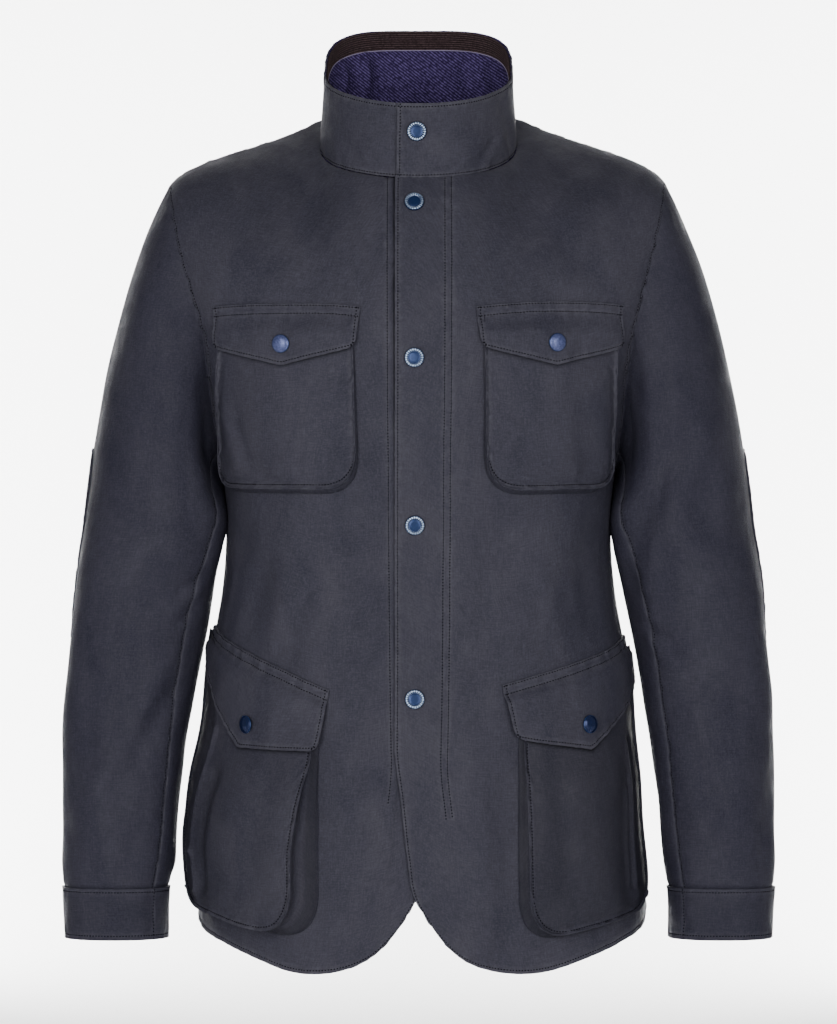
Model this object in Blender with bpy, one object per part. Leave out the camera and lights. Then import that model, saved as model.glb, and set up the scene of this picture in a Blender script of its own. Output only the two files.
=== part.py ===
"""A waxed cotton field jacket, filled out and hollow, as if someone wore it.

Metres, +Z up. The front faces -Y and the wearer's left side is at +X. The origin is at the base
of the neck, where the shoulders carry the jacket. Every panel is a thin wall of cloth laid on one
body surface or on one sleeve surface, both worked out from the short tables below.
"""

import math

import bmesh
import bpy
import numpy as np
from mathutils import Matrix, Vector

# ---------------------------------------------------------------- driving sizes
CLOTH = 0.0018           # a waxed cotton panel
LIGHT_CLOTH = 0.0012     # a flap, a pocket bag or a lining
SEAM = 0.0002            # each panel keeps this far back from its seam line
ARM_SEAM = 0.0025        # a sleeve head keeps this far back, because it turns down there
NECK_SEAM = 0.0008       # a body panel keeps this far back from the neck seam
SHOULDER_SEAM = 0.0010   # and each panel at the shoulder seam, where front and back meet at an angle
ON_PANEL = 0.0011        # clear space between a panel and what is sewn on it
LAP = 0.0205             # each front passes the centre line by this much
LAP_LIFT = 0.0030        # the left front lies this far out, over the right front
LAP_EASE = (0.030, 0.070)  # from the centre, where the lift starts to fall and where it ends

UNDERARM = -0.305        # height of the armhole's lowest point
TIP = -0.029             # height of the shoulder point
RIGHT_DROP = 0.0030      # how much lower the wearer's right shoulder sits
RIGHT_OUT = 0.0025       # and how much further out
RIGHT_FOOT = 0.0065      # how much further in the wearer's right side hangs at its foot
TIP_OUT = 0.2215         # the shoulder point's distance from the centre plane

# The body's level rings. The half width is to the side seam, and the fullness is the power of the
# superellipse: 2 is an ellipse, more is squarer.
#   height  half_width front_depth back_depth fullness
BODY = (
    (-0.780, 0.2100, 0.1480, 0.1330, 2.35),
    (-0.690, 0.2060, 0.1450, 0.1320, 2.35),
    (-0.639, 0.2015, 0.1410, 0.1310, 2.35),
    (-0.585, 0.1960, 0.1380, 0.1290, 2.35),
    (-0.531, 0.1915, 0.1350, 0.1250, 2.35),
    (-0.477, 0.1885, 0.1310, 0.1180, 2.35),
    (-0.450, 0.1855, 0.1285, 0.1140, 2.35),
    (-0.396, 0.1765, 0.1250, 0.1090, 2.35),
    (-0.350, 0.1730, 0.1250, 0.1120, 2.35),
    (-0.305, 0.1745, 0.1280, 0.1190, 2.35),
    (-0.270, 0.1800, 0.1300, 0.1240, 2.35),
    (-0.240, 0.1865, 0.1310, 0.1270, 2.35),
    (-0.210, 0.1945, 0.1310, 0.1290, 2.35),
    (-0.155, 0.2145, 0.1285, 0.1310, 2.35),
    (-0.100, 0.2320, 0.1265, 0.1310, 2.35),
    (-0.050, 0.2460, 0.1290, 0.1290, 2.35),
    (0.000, 0.2560, 0.1320, 0.1270, 2.35),
    (0.060, 0.2620, 0.1340, 0.1250, 2.35),
)

# The shoulder line, where front and back meet. Roll is how far down the cloth turns from lying
# over the shoulder to hanging, and its power says how round that turn is: 0.5 is a quarter of an
# oval, 1 leaves the shoulder line at a slope.
#   across  height   depth   roll   power
FRONT_SHOULDER = (
    (0.0000, 0.0350, 0.0000, 0.210, 0.69),
    (0.0450, 0.0352, 0.0120, 0.210, 0.69),
    (0.0720, 0.0345, 0.0355, 0.210, 0.76),
    (0.0880, 0.0305, 0.0360, 0.208, 0.88),
    (0.1125, 0.0200, 0.0330, 0.195, 0.83),
    (0.1400, 0.0098, 0.0280, 0.178, 0.74),
    (0.1700, -0.0005, 0.0220, 0.158, 0.65),
    (0.1950, -0.0105, 0.0160, 0.136, 0.58),
    (0.2130, -0.0210, 0.0120, 0.120, 0.52),
    (0.2225, -0.0300, 0.0100, 0.112, 0.50),
    (0.2450, -0.0550, 0.0100, 0.112, 0.50),
)
BACK_SHOULDER = (
    (0.0000, 0.0520, 0.0400, 0.150, 0.58),
    (0.0450, 0.0450, 0.0380, 0.150, 0.58),
    (0.0720, 0.0345, 0.0355, 0.148, 0.58),
    (0.0880, 0.0305, 0.0360, 0.146, 0.57),
    (0.1125, 0.0200, 0.0330, 0.140, 0.56),
    (0.1400, 0.0098, 0.0280, 0.132, 0.55),
    (0.1700, -0.0005, 0.0220, 0.124, 0.54),
    (0.1950, -0.0105, 0.0160, 0.114, 0.52),
    (0.2130, -0.0210, 0.0120, 0.107, 0.51),
    (0.2225, -0.0300, 0.0100, 0.102, 0.50),
    (0.2450, -0.0550, 0.0100, 0.102, 0.50),
)

# The armhole, from the underarm up to the shoulder point.
#   height  across
ARMHOLE = (
    (-0.305, 0.1745),
    (-0.270, 0.1790),
    (-0.240, 0.1822),
    (-0.200, 0.1868),
    (-0.160, 0.1915),
    (-0.120, 0.2010),
    (-0.090, 0.2095),
    (-0.060, 0.2160),
    (-0.029, 0.2215),
)

ARMHOLE_POINTS = 80      # enough points to measure along it

# The left front's edge below the last snap, round the cutaway and along the hem to the side seam.
#   across   height
CUTAWAY = (
    (-0.0205, -0.500),
    (-0.0205, -0.530),
    (-0.0155, -0.570),
    (-0.0100, -0.619),
    (-0.0030, -0.657),
    (0.0074, -0.6745),
    (0.0160, -0.6875),
    (0.0273, -0.7005),
    (0.0455, -0.7135),
    (0.0654, -0.7205),
    (0.0880, -0.7235),
    (0.1120, -0.7225),
    (0.1430, -0.7140),
    (0.1770, -0.7030),
    (0.2020, -0.6905),
)
CORNER_ROW = 6           # the cutaway point where a front's grid turns its corner
SIDE_HEM = -0.6750       # height of the hem at the side seam
BACK_HEM = -0.6830       # height of the hem at the centre of the back

# The neck seam and the collar's top edge, seen from above as one oval.
NECK_WIDE = 0.0880       # half width of the neck seam
NECK_SHOULDER = 125.0    # degrees round from the front where the neck seam meets the shoulder seam
NECK_FRONT = -0.0295     # height of the neck seam at the centre front
NECK_RISE = 0.0732       # how much higher the neck seam would be at the centre back
NECK_DIP = 0.0055        # how far it sags at the sides
NECK_CLIMB = 0.0095      # and how far it climbs from there to the shoulder seam
OVAL_CENTRE = -0.0085
OVAL_DEPTH = 0.0765
COLLAR_WIDE = 0.0845
COLLAR_DEPTH = 0.0715
COLLAR_FRONT = 0.0355
COLLAR_SIDE = 0.0660     # height of the collar's top edge at its sides
COLLAR_BACK = 0.1110     # and at the centre back
COLLAR_LEVEL = 3.5       # the power that keeps the back of that edge nearly level
COLLAR_SQUARE = 2.4      # and the one that squares the collar's back a little, seen from above
COLLAR_LIFT = 0.0038     # the collar's upper end lies this far out, over its lower end
COLLAR_EASE = (20.0, 55.0)  # degrees from the centre front where that lift starts to fall and ends
COLLAR_END = 12.3        # degrees past the centre front where each end of the collar stops
FACING_DEEP = 0.0180     # the corduroy band inside the collar's top edge
LINING_DROP = 0.0060     # the neck lining ends this far above the neck seam
COLLAR_WALL = 0.0016
COLLAR_GAP = 0.0004      # between the collar and what lines it
COLLAR_CLEAR = 0.0012    # the collar starts this far above the neck seam
FACING_EDGE = 0.0010     # the corduroy band starts this far below the collar's top edge
COLLAR_COLUMNS = 37

# A sleeve's level rings below the underarm. The shear slides the front of a ring inwards.
#   height  outer    inner   front    back    shear
SLEEVE = (
    (-0.7040, 0.3140, 0.2243, -0.0890, -0.0040, 0.00),
    (-0.6585, 0.3165, 0.2230, -0.0860, 0.0030, 0.00),
    (-0.6370, 0.3188, 0.2193, -0.0845, 0.0070, 0.00),
    (-0.6100, 0.3185, 0.2161, -0.0825, 0.0120, 0.00),
    (-0.5830, 0.3185, 0.2136, -0.0800, 0.0180, 0.00),
    (-0.5560, 0.3178, 0.2104, -0.0775, 0.0240, 0.00),
    (-0.5290, 0.3168, 0.2078, -0.0750, 0.0300, 0.00),
    (-0.5025, 0.3160, 0.2035, -0.0725, 0.0360, 0.00),
    (-0.4757, 0.3146, 0.1992, -0.0700, 0.0420, 0.00),
    (-0.4488, 0.3125, 0.1943, -0.0690, 0.0470, 0.00),
    (-0.4220, 0.3094, 0.1886, -0.0680, 0.0510, 0.02),
    (-0.3950, 0.3068, 0.1828, -0.0680, 0.0540, 0.04),
    (-0.3680, 0.3042, 0.1781, -0.0680, 0.0560, 0.08),
    (-0.3350, 0.2997, 0.1762, -0.0680, 0.0570, 0.15),
)
SLEEVE_FULL = 2.25       # the power of the sleeve's rings
RIM_LEAN = 0.060         # the wrist rings rise this much to the front, per metre of depth
LEAN_FROM = (-0.50, -0.65)  # heights where that lean starts and where it is whole
SLEEVE_END = -0.6640     # the sleeve stops just inside the cuff
CUFF_TOP = -0.6585
CUFF_BOTTOM = -0.7035
CUFF_OUT = 0.0014        # how far the cuff stands out from the sleeve's surface
CUFF_WALL = 0.0020
TUCK = 0.0016            # how far the sleeve's end draws in, under the cuff

# Where the two sleeve seams run, as a share of the way round from the outer line: a quarter is the
# front, a half is the inner line.
#   height  front_seam
SLEEVE_SEAM = (
    (-0.7040, 0.388),
    (-0.5000, 0.384),
    (-0.3800, 0.374),
    (-0.3350, 0.390),
    (-0.3050, 0.440),
)
BACK_SEAM = 0.625        # the back seam's place, the same all the way down

# The pockets, in distance round the cloth from the centre front and in height. A pocket's bag has
# four corners, its mouth's inner and outer end and then its foot's, and it stands off the front.
BAG_CORNERS = {
    ("chest", "left"): ((0.0560, -0.1500), (0.1810, -0.1500), (0.0575, -0.3070), (0.1965, -0.3060)),
    ("chest", "right"): ((0.0570, -0.1500), (0.1810, -0.1500), (0.0510, -0.3060), (0.2120, -0.3060)),
    ("lower", "left"): ((0.0880, -0.4880), (0.2450, -0.4450), (0.0880, -0.6985), (0.2450, -0.6760)),
    ("lower", "right"): ((0.0880, -0.4880), (0.2450, -0.4300), (0.0880, -0.6960), (0.2450, -0.6730)),
}
BAG_ROUND = {"chest": 0.034, "lower": 0.0425}  # the lower corners are rounded from this far off
CHEST_TOP = -0.1500      # a chest bag's mouth, under the flap
CHEST_DEPTHS = (0.0040, 0.0080)
CHEST_FULL = -0.2560     # the height where the bag has its whole depth
CHEST_FLAP = (           # the flap's outline: its upper corners, then its lower edge
    (0.0502, -0.1435),
    (0.1858, -0.1410),
    (0.0545, -0.1780),
    (0.1195, -0.1930),
    (0.1890, -0.1765),
)
FLAP_LINES = {
    ("chest", "left"): CHEST_FLAP,
    ("chest", "right"): CHEST_FLAP,
    ("lower", "left"): (
        (0.0728, -0.4725),
        (0.2450, -0.4315),
        (0.0840, -0.5185),
        (0.1555, -0.5315),
        (0.2490, -0.4740),
    ),
    ("lower", "right"): (
        (0.0777, -0.4770),
        (0.2440, -0.4225),
        (0.0870, -0.5300),
        (0.1616, -0.5290),
        (0.2440, -0.4480),
    ),
}
# How much a flap's sewn edge rises in its middle.
FLAP_ARCH = {
    ("chest", "left"): 0.0033,
    ("chest", "right"): 0.0033,
    ("lower", "left"): 0.0010,
    ("lower", "right"): 0.0035,
}
# How far each lower pocket stands out: at its mouth, its inner gusset and its outer gusset.
LOWER_DEPTHS = {"left": (0.0035, 0.0130, 0.0060), "right": (0.0035, 0.0250, 0.0150)}
LOWER_TURNS = (0.1170, 0.2450)   # across, where the inner gusset's depth gives way to the outer one's
LOWER_SWELLS = (-0.5000, -0.5850)  # heights where a lower pocket starts to swell and is full
LOWER_LEAN = {"left": 0.0030, "right": 0.0135}  # how far the face's inner edge leans outwards
LEAN_HEIGHTS = (-0.5350, -0.6250)  # heights where that lean starts and is whole
LEAN_ENDS = (0.1200, 0.2400)       # across, where it starts to fade and has gone
GUSSET = 0.0035          # how far a bag's face is set in from its sewn line
GUSSET_ROWS = ((0.0, 0.0), (0.45, 0.62), (1.0, 1.0))  # shares of that inset, and of the depth
WELD_DIGITS = 7          # points that agree to this many decimals are one point
FLAP_OVER = 0.0031       # a flap's outer face lies this far over the bag's
FLAP_TURNS = 0.22        # the share of its height in which a flap rises to that from its sewn line
SNAP_OVER = 0.0005       # a snap's back stands this far off the front's cloth
SNAP_ON_FLAP = 0.0014    # and this far off a flap, which is more curved
SNAP_HEIGHTS = (-0.0530, -0.1875, -0.3330, -0.4845)
SNAP_ACROSS = -0.0030
COLLAR_SNAP_UP = 0.62    # the collar snap's place up the collar
COLLAR_SNAP_TURN = -1.0  # and its degrees round from the centre front
CHEST_SNAP = (0.1190, -0.1740)
LOWER_SNAP = (0.1540, -0.5090)
#   radius  height
RING_SNAP = (
    (0.0000, 0.0016),
    (0.0050, 0.0018),
    (0.0060, 0.0027),
    (0.0078, 0.0025),
    (0.0086, 0.0012),
    (0.0086, 0.0000),
    (0.0000, 0.0000),
)
DOME_SNAP = (
    (0.0000, 0.0031),
    (0.0045, 0.0027),
    (0.0072, 0.0014),
    (0.0078, 0.0000),
    (0.0000, 0.0000),
)
SNAP_SIDES = 16
# The elbow patch, as shares of the way round and as levels of the sleeve.
PATCH_TURNS = (-0.235, 0.013)
PATCH_LEVELS = (-0.120, 0.215)
PATCH_SQUARE = 5.0
PATCH_REACH = 1.40       # the rows are spaced by the sine of an angle up to this, in radians
PATCH_LIFT = 0.0012

# Soft folds that stand out of the body, as a line in front view, how wide and how high.
#   face  x1      z1      x2      z2     width   height
BODY_FOLDS = (
    (-1, 0.128, -0.342, 0.080, -0.440, 0.022, 0.0030),
    (-1, -0.122, -0.350, -0.088, -0.446, 0.024, 0.0036),
    (-1, 0.070, -0.085, 0.125, -0.118, 0.024, 0.0022),
    (1, 0.110, -0.372, -0.090, -0.410, 0.026, 0.0040),
    (1, -0.120, -0.470, 0.070, -0.452, 0.022, 0.0030),
    (1, 0.132, -0.130, 0.112, -0.300, 0.026, 0.0040),
    (1, -0.126, -0.120, -0.118, -0.318, 0.024, 0.0034),
    (1, 0.060, -0.560, 0.075, -0.670, 0.030, 0.0034),
    (1, -0.085, -0.540, -0.070, -0.670, 0.030, 0.0030),
)

# Soft folds along a sleeve: from one height and turn to another, as shares of the way round.
#   side  z1      w1     z2      w2    width   height
SLEEVE_FOLDS = (
    ("left", -0.300, 0.425, -0.354, 0.415, 0.026, 0.0045),
    ("left", -0.230, 0.310, -0.400, 0.200, 0.026, 0.0034),
    ("left", -0.300, 0.130, -0.480, 0.060, 0.030, 0.0030),
    ("left", -0.380, 0.640, -0.470, 0.740, 0.026, 0.0036),
    ("left", -0.550, 0.180, -0.600, 0.260, 0.026, 0.0026),
    ("right", -0.300, 0.425, -0.354, 0.415, 0.026, 0.0045),
    ("right", -0.200, 0.320, -0.360, 0.240, 0.028, 0.0032),
    ("right", -0.340, 0.100, -0.520, 0.080, 0.030, 0.0034),
    ("right", -0.400, 0.660, -0.500, 0.770, 0.028, 0.0032),
    ("right", -0.540, 0.200, -0.600, 0.240, 0.024, 0.0028),
)
SLEEVE_ROUND = 0.38      # the way round a sleeve, which turns a share into a length for its folds
SLEEVE_TILT = 0.12       # how much a sleeve's outer side faces up, since the arm hangs out a little

MATERIALS = {
    # name: (red, green, blue), roughness, metallic
    "waxed_cotton": ((0.030, 0.033, 0.045), 0.62, 0.0),
    "corduroy": ((0.030, 0.020, 0.016), 0.90, 0.0),
    "lining_twill": ((0.040, 0.026, 0.110), 0.85, 0.0),
    "snap_enamel": ((0.012, 0.050, 0.180), 0.35, 0.6),
}


# ---------------------------------------------------------------- reading the tables
def read(rows, column, at):
    """A smooth reading of one column of a table, at values of its first column."""
    table = np.array(rows, float)
    if table[0, 0] > table[-1, 0]:
        table = table[::-1]
    keys = table[:, 0]
    values = table[:, column]
    slopes = np.gradient(values, keys)
    at = np.clip(at, keys[0], keys[-1])
    i = np.clip(np.searchsorted(keys, at) - 1, 0, len(keys) - 2)
    step = keys[i + 1] - keys[i]
    u = (at - keys[i]) / step
    return (
        (2 * u**3 - 3 * u**2 + 1) * values[i]
        + (u**3 - 2 * u**2 + u) * step * slopes[i]
        + (3 * u**2 - 2 * u**3) * values[i + 1]
        + (u**3 - u**2) * step * slopes[i + 1]
    )


def smooth(at, start, end):
    """0 before start, 1 after end, with a soft change between."""
    u = np.clip((np.asarray(at, float) - start) / (end - start), 0.0, 1.0)
    return u * u * (3 - 2 * u)


def spread(points, count):
    """Points evenly spaced along a line of points, from cubic curves through them."""
    points = np.array(points, float)
    steps = np.linalg.norm(np.diff(points, axis=0), axis=1)
    run = np.concatenate([[0.0], np.cumsum(steps)])
    rows = np.column_stack([run, points])
    at = np.linspace(0.0, run[-1], count)
    return np.column_stack([read(rows, c, at) for c in range(1, rows.shape[1])])


# ---------------------------------------------------------------- the body surface
NEAR = 0.001             # a step short enough to measure the cloth's slope
NEAR_TURN = 0.6          # and the same as a turn, in degrees


def shoulder_of(face):
    return FRONT_SHOULDER if face < 0 else BACK_SHOULDER


def roll_share(x, z, face):
    """How far the cloth has turned from lying over the shoulder, 0, to hanging, 1."""
    rows = shoulder_of(face)
    across = np.abs(x)
    drop = read(rows, 1, across) - z
    share = np.clip(drop / read(rows, 3, across), 0.0, 1.0)
    return (1 - (1 - share) ** 2) ** read(rows, 4, across)


def fold_lift(x, z, face):
    """How far the soft folds lift the body's cloth here."""
    lift = np.zeros(np.broadcast(x, z).shape)
    for row_face, x1, z1, x2, z2, width, height in BODY_FOLDS:
        if row_face != face:
            continue
        length = math.hypot(x2 - x1, z2 - z1)
        along = ((x - x1) * (x2 - x1) + (z - z1) * (z2 - z1)) / length
        aside = ((x - x1) * (z2 - z1) - (z - z1) * (x2 - x1)) / length
        past = np.maximum(np.maximum(-along, along - length), 0.0)
        lift = lift + height * np.exp(-((aside**2 + past**2) / width**2))
    return lift


def body_point(turn, z, face):
    """A point of the body: turn is 0 at the centre and 90 degrees at the side seam."""
    half = read(BODY, 1, z)
    deep = read(BODY, 2 if face < 0 else 3, z)
    power = read(BODY, 4, z)
    angle = np.radians(turn)
    x = half * np.sign(angle) * np.abs(np.sin(angle)) ** (2 / power)
    y = deep * np.clip(np.cos(angle), 0.0, 1.0) ** (2 / power)
    roll = roll_share(x, z, face)
    shoulder = read(shoulder_of(face), 2, np.abs(x))
    outward = np.stack([x / half**2, face * y / deep**2], axis=-1)
    outward = outward / np.linalg.norm(outward, axis=-1, keepdims=True)
    lift = fold_lift(x, z, face)
    return np.stack(
        [
            x + outward[..., 0] * lift,
            shoulder * (1 - roll) + face * y * roll + outward[..., 1] * lift,
            z + 0 * x,
        ],
        axis=-1,
    )


def body_lifted(turn, z, face, lift):
    """A point that stands off the body's cloth by lift, straight out from it."""
    turn, z, lift = np.broadcast_arrays(np.asarray(turn, float), z, lift)
    here = body_point(turn, z, face)
    aside = body_point(turn + NEAR_TURN, z, face) - body_point(turn - NEAR_TURN, z, face)
    top = np.minimum(z + NEAR, read(shoulder_of(face), 1, np.abs(here[..., 0])))
    top = np.maximum(top, z - NEAR / 2)
    up = body_point(turn, top, face) - body_point(turn, z - NEAR, face)
    out = np.cross(aside, up) * -face
    out = out / np.linalg.norm(out, axis=-1, keepdims=True)
    return here + out * lift[..., None]


def turn_of(x, z):
    """The turn in degrees at which the ring at z is x from the centre."""
    share = np.clip(np.abs(x) / read(BODY, 1, z), 0.0, 1.0)
    return np.sign(x) * np.degrees(np.arcsin(share ** (read(BODY, 4, z) / 2)))


def turn_at(across, z, face):
    """The turn at a distance measured round the cloth from the centre line."""
    across, z = np.broadcast_arrays(np.asarray(across, float), z)
    turns = np.linspace(0.0, 90.0, 91)
    result = np.zeros(across.shape)
    for index in np.ndindex(across.shape):
        ring = body_point(turns, z[index], face)
        run = np.concatenate([[0], np.cumsum(np.linalg.norm(np.diff(ring, axis=0), axis=1))])
        result[index] = math.copysign(np.interp(abs(across[index]), run, turns), across[index])
    return result


# ---------------------------------------------------------------- the panel grids
HALF_SHOULDER = 0.1      # where the search for a height starts, out along the shoulder
HEIGHT_STEPS = 12        # and its steps, which halve the error each time or better


def to_drop(x, z, face):
    """A height as a share of the roll below the shoulder line, even where the cloth lies flat."""
    rows = shoulder_of(face)
    across = np.abs(x)
    share = (read(rows, 1, across) - z) / read(rows, 3, across)
    rolled = np.arccos(np.clip(1 - share, -1.0, 1.0)) / (math.pi / 2)
    return np.where(share < 1, rolled, 1 + (share - 1) / (math.pi / 2))


def from_drop(x, drop, face):
    rows = shoulder_of(face)
    across = np.abs(x)
    rolled = 1 - np.cos(np.clip(drop, 0, 1) * math.pi / 2)
    share = np.where(drop < 1, rolled, 1 + (drop - 1) * math.pi / 2)
    return read(rows, 1, across) - share * read(rows, 3, across)


def patch(left, right, bottom, top, face):
    """A four-sided piece of the body from its edges, each given as points (x, z)."""
    edges = []
    for line in (left, right, bottom, top):
        x, z = np.array(line, float).T
        edges.append(np.column_stack([turn_of(x, z), to_drop(x, z, face)]))
    left, right, bottom, top = edges
    s = np.linspace(0, 1, len(left))[:, None, None]
    t = np.linspace(0, 1, len(bottom))[None, :, None]
    sides = (1 - t) * left[:, None] + t * right[:, None]
    ends = (1 - s) * bottom[None] + s * top[None]
    corners = (1 - s) * ((1 - t) * left[0] + t * right[0]) + s * ((1 - t) * left[-1] + t * right[-1])
    blend = sides + ends - corners
    turn = blend[..., 0]
    drop = blend[..., 1]
    z = from_drop(HALF_SHOULDER + 0 * drop, drop, face)
    for _ in range(HEIGHT_STEPS):
        angle = np.radians(turn)
        power = read(BODY, 4, z)
        x = read(BODY, 1, z) * np.abs(np.sin(angle)) ** (2 / power)
        z = from_drop(x, drop, face)
    return turn, z


def neck_line(degrees, face):
    """Where the neck seam runs on the body, as points (x, z), round from the centre front."""
    angle = np.radians(degrees)
    x = NECK_WIDE * np.sin(angle)
    if face < 0:
        z = NECK_FRONT + NECK_RISE * (1 - np.cos(angle)) / 2 - NECK_DIP * np.sin(angle) ** 2
        z = z + NECK_CLIMB * smooth(degrees, 90.0, NECK_SHOULDER)
        z = np.minimum(z, read(FRONT_SHOULDER, 1, np.abs(x)))
        return np.column_stack([x, z])
    across = np.abs(x)
    shoulder = read(BACK_SHOULDER, 2, across)
    oval = OVAL_CENTRE - OVAL_DEPTH * np.cos(angle)
    lies = np.clip((oval - shoulder) / (read(BODY, 3, 0.03) - shoulder), 0.0, 1.0)
    share = 1 - np.sqrt(1 - lies ** (1 / read(BACK_SHOULDER, 4, across)))
    height = read(BACK_SHOULDER, 1, across) - share * read(BACK_SHOULDER, 3, across)
    return np.column_stack([x, height])


def shoulder_corner():
    """Where neck seam and shoulder seam meet: (x, z)."""
    x = NECK_WIDE * math.sin(math.radians(NECK_SHOULDER))
    return x, float(read(FRONT_SHOULDER, 1, x))


def outer_edge(hem, counts):
    """Side seam, armhole and shoulder seam as one line of points (x, z), from the hem up."""
    sides, arms, shoulders = counts
    z = np.linspace(hem, UNDERARM, sides + 1)
    side = np.column_stack([read(BODY, 1, z), z])
    height = np.linspace(UNDERARM, TIP, ARMHOLE_POINTS)
    arm = spread(np.column_stack([read(ARMHOLE, 1, height), height]), arms + 1)
    x = np.linspace(TIP_OUT, shoulder_corner()[0], shoulders + 1)
    shoulder = np.column_stack([x, read(FRONT_SHOULDER, 1, x)])
    return np.concatenate([side, arm[1:], shoulder[1:]])


def lap_lift(x):
    """The left front's lift over the right front, near the centre."""
    return LAP_LIFT * (1 - smooth(x, *LAP_EASE))


def pull_back(grid, edge, amount=SEAM):
    """How far to move the points of a grid, so that the named edge keeps back from its seam."""
    shift = np.zeros(grid.shape)
    outer, inner, moved = {
        "bottom": (grid[0], grid[1], shift[0]),
        "top": (grid[-1], grid[-2], shift[-1]),
        "left": (grid[:, 0], grid[:, 1], shift[:, 0]),
        "right": (grid[:, -1], grid[:, -2], shift[:, -1]),
    }[edge]
    step = inner - outer
    moved += step / np.linalg.norm(step, axis=-1, keepdims=True) * amount
    return shift


def settled(grid):
    """The wearer's right shoulder sits a little lower and further out, and that side's foot further in."""
    x, z = grid[..., 0], grid[..., 2]
    drop = RIGHT_DROP * smooth(-x, 0.05, 0.12) * smooth(z, -0.30, -0.02)
    out = RIGHT_OUT * smooth(-x, 0.12, 0.21) * smooth(z, -0.24, -0.08)
    on_body = smooth(-x, 0.10, 0.18) * (1 - smooth(-x, 0.2185, 0.2215))
    out = out - RIGHT_FOOT * on_body * smooth(-z, 0.600, 0.700)
    return grid - np.stack([out, 0 * drop, drop], axis=-1)


# ---------------------------------------------------------------- making walls
def material(name):
    found = bpy.data.materials.get(name)
    if found:
        return found
    colour, roughness, metallic = MATERIALS[name]
    made = bpy.data.materials.new(name)
    made.use_nodes = True
    shader = made.node_tree.nodes["Principled BSDF"]
    shader.inputs["Base Color"].default_value = (*colour, 1.0)
    shader.inputs["Roughness"].default_value = roughness
    shader.inputs["Metallic"].default_value = metallic
    made.diffuse_color = (*colour, 1.0)
    return made


def add_object(name, mesh_bm, finish):
    mesh = bpy.data.meshes.new(name)
    mesh_bm.to_mesh(mesh)
    mesh_bm.free()
    mesh.shade_smooth()
    mesh.materials.append(material(finish))
    made = bpy.data.objects.new(name, mesh)
    bpy.context.scene.collection.objects.link(made)
    return made


def add_wall(name, patches, finish):
    """A wall of cloth from patches, each a grid of points on its outer face and one on its inner.

    Rows run upwards and columns to the right, seen from outside. Patches join where they share
    points, and a patch whose last column repeats its first is closed.
    """
    bm = bmesh.new()
    pairs = {}
    used = {}
    for outer, inner in patches:
        outer, inner = settled(outer), settled(inner)
        rows, columns = outer.shape[:2]
        keys = [[tuple(np.round(point, WELD_DIGITS)) for point in row] for row in outer]
        for r in range(rows):
            for c in range(columns):
                if keys[r][c] not in pairs:
                    pairs[keys[r][c]] = (bm.verts.new(outer[r, c]), bm.verts.new(inner[r, c]))
        for r in range(rows - 1):
            for c in range(columns - 1):
                corners = (keys[r][c], keys[r][c + 1], keys[r + 1][c + 1], keys[r + 1][c])
                bm.faces.new([pairs[key][0] for key in corners])
                bm.faces.new([pairs[key][1] for key in corners[::-1]])
                used.update(dict.fromkeys(zip(corners, corners[1:] + corners[:1])))
    for start, end in used:
        if (end, start) not in used:
            bm.faces.new((pairs[end][0], pairs[start][0], pairs[start][1], pairs[end][1]))
    return add_object(name, bm, finish)


def both_faces(surface, wall):
    """A wall's outer and inner grids. The surface gives the grid at a lift off the outer face."""
    return [surface(0.0), surface(-wall)]


def flipped(faces):
    """The same patch for the wearer's right side, still facing out."""
    return [(grid * (-1, 1, 1))[:, ::-1] for grid in faces]


# ---------------------------------------------------------------- fronts and back
PANEL_ROWS = (8, 6, 4)   # rows along the side seam, the armhole and the shoulder seam
MIDDLE_BREAKS = (-0.300, -0.120)  # heights at the centre that are level with where those rows change
FRONT_COLUMNS = 13
BACK_COLUMNS = 11        # on each side of the centre
BACK_SQUARE = 2.35       # the power that spaces the back's columns as evenly as its rings are full
LINE_POINTS = 241        # enough points on a drawn line to find its corner


def cutaway_lines():
    """The front edge up from its corner, and the hem from there to the side seam."""
    side = (float(read(BODY, 1, SIDE_HEM)), SIDE_HEM)
    line = spread([*CUTAWAY, side], LINE_POINTS)
    corner = int(np.argmin(np.linalg.norm(line - np.array(CUTAWAY[CORNER_ROW]), axis=1)))
    return line[: corner + 1][::-1], line[corner:]


def front_grid():
    """Turns and heights of one front's grid, with the edge past the centre line."""
    edge, hem = cutaway_lines()
    sides, arms, shoulders = PANEL_ROWS
    low_break, high_break = MIDDLE_BREAKS
    low = spread(np.concatenate([edge, [(-LAP, low_break)]]), sides + 1)
    start = -math.degrees(math.asin(LAP / NECK_WIDE))
    neck = neck_line(np.linspace(start, NECK_SHOULDER, FRONT_COLUMNS), -1)
    neck[-1] = shoulder_corner()
    mid = np.linspace(low_break, high_break, arms + 1)[1:]
    high = np.linspace(high_break, neck[0, 1], shoulders + 1)[1:]
    straight = np.concatenate([mid, high])
    left = np.concatenate([low, np.column_stack([np.full(len(straight), -LAP), straight])])
    right = outer_edge(SIDE_HEM, PANEL_ROWS)
    return patch(left, right, spread(hem, FRONT_COLUMNS), neck, -1)


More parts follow.
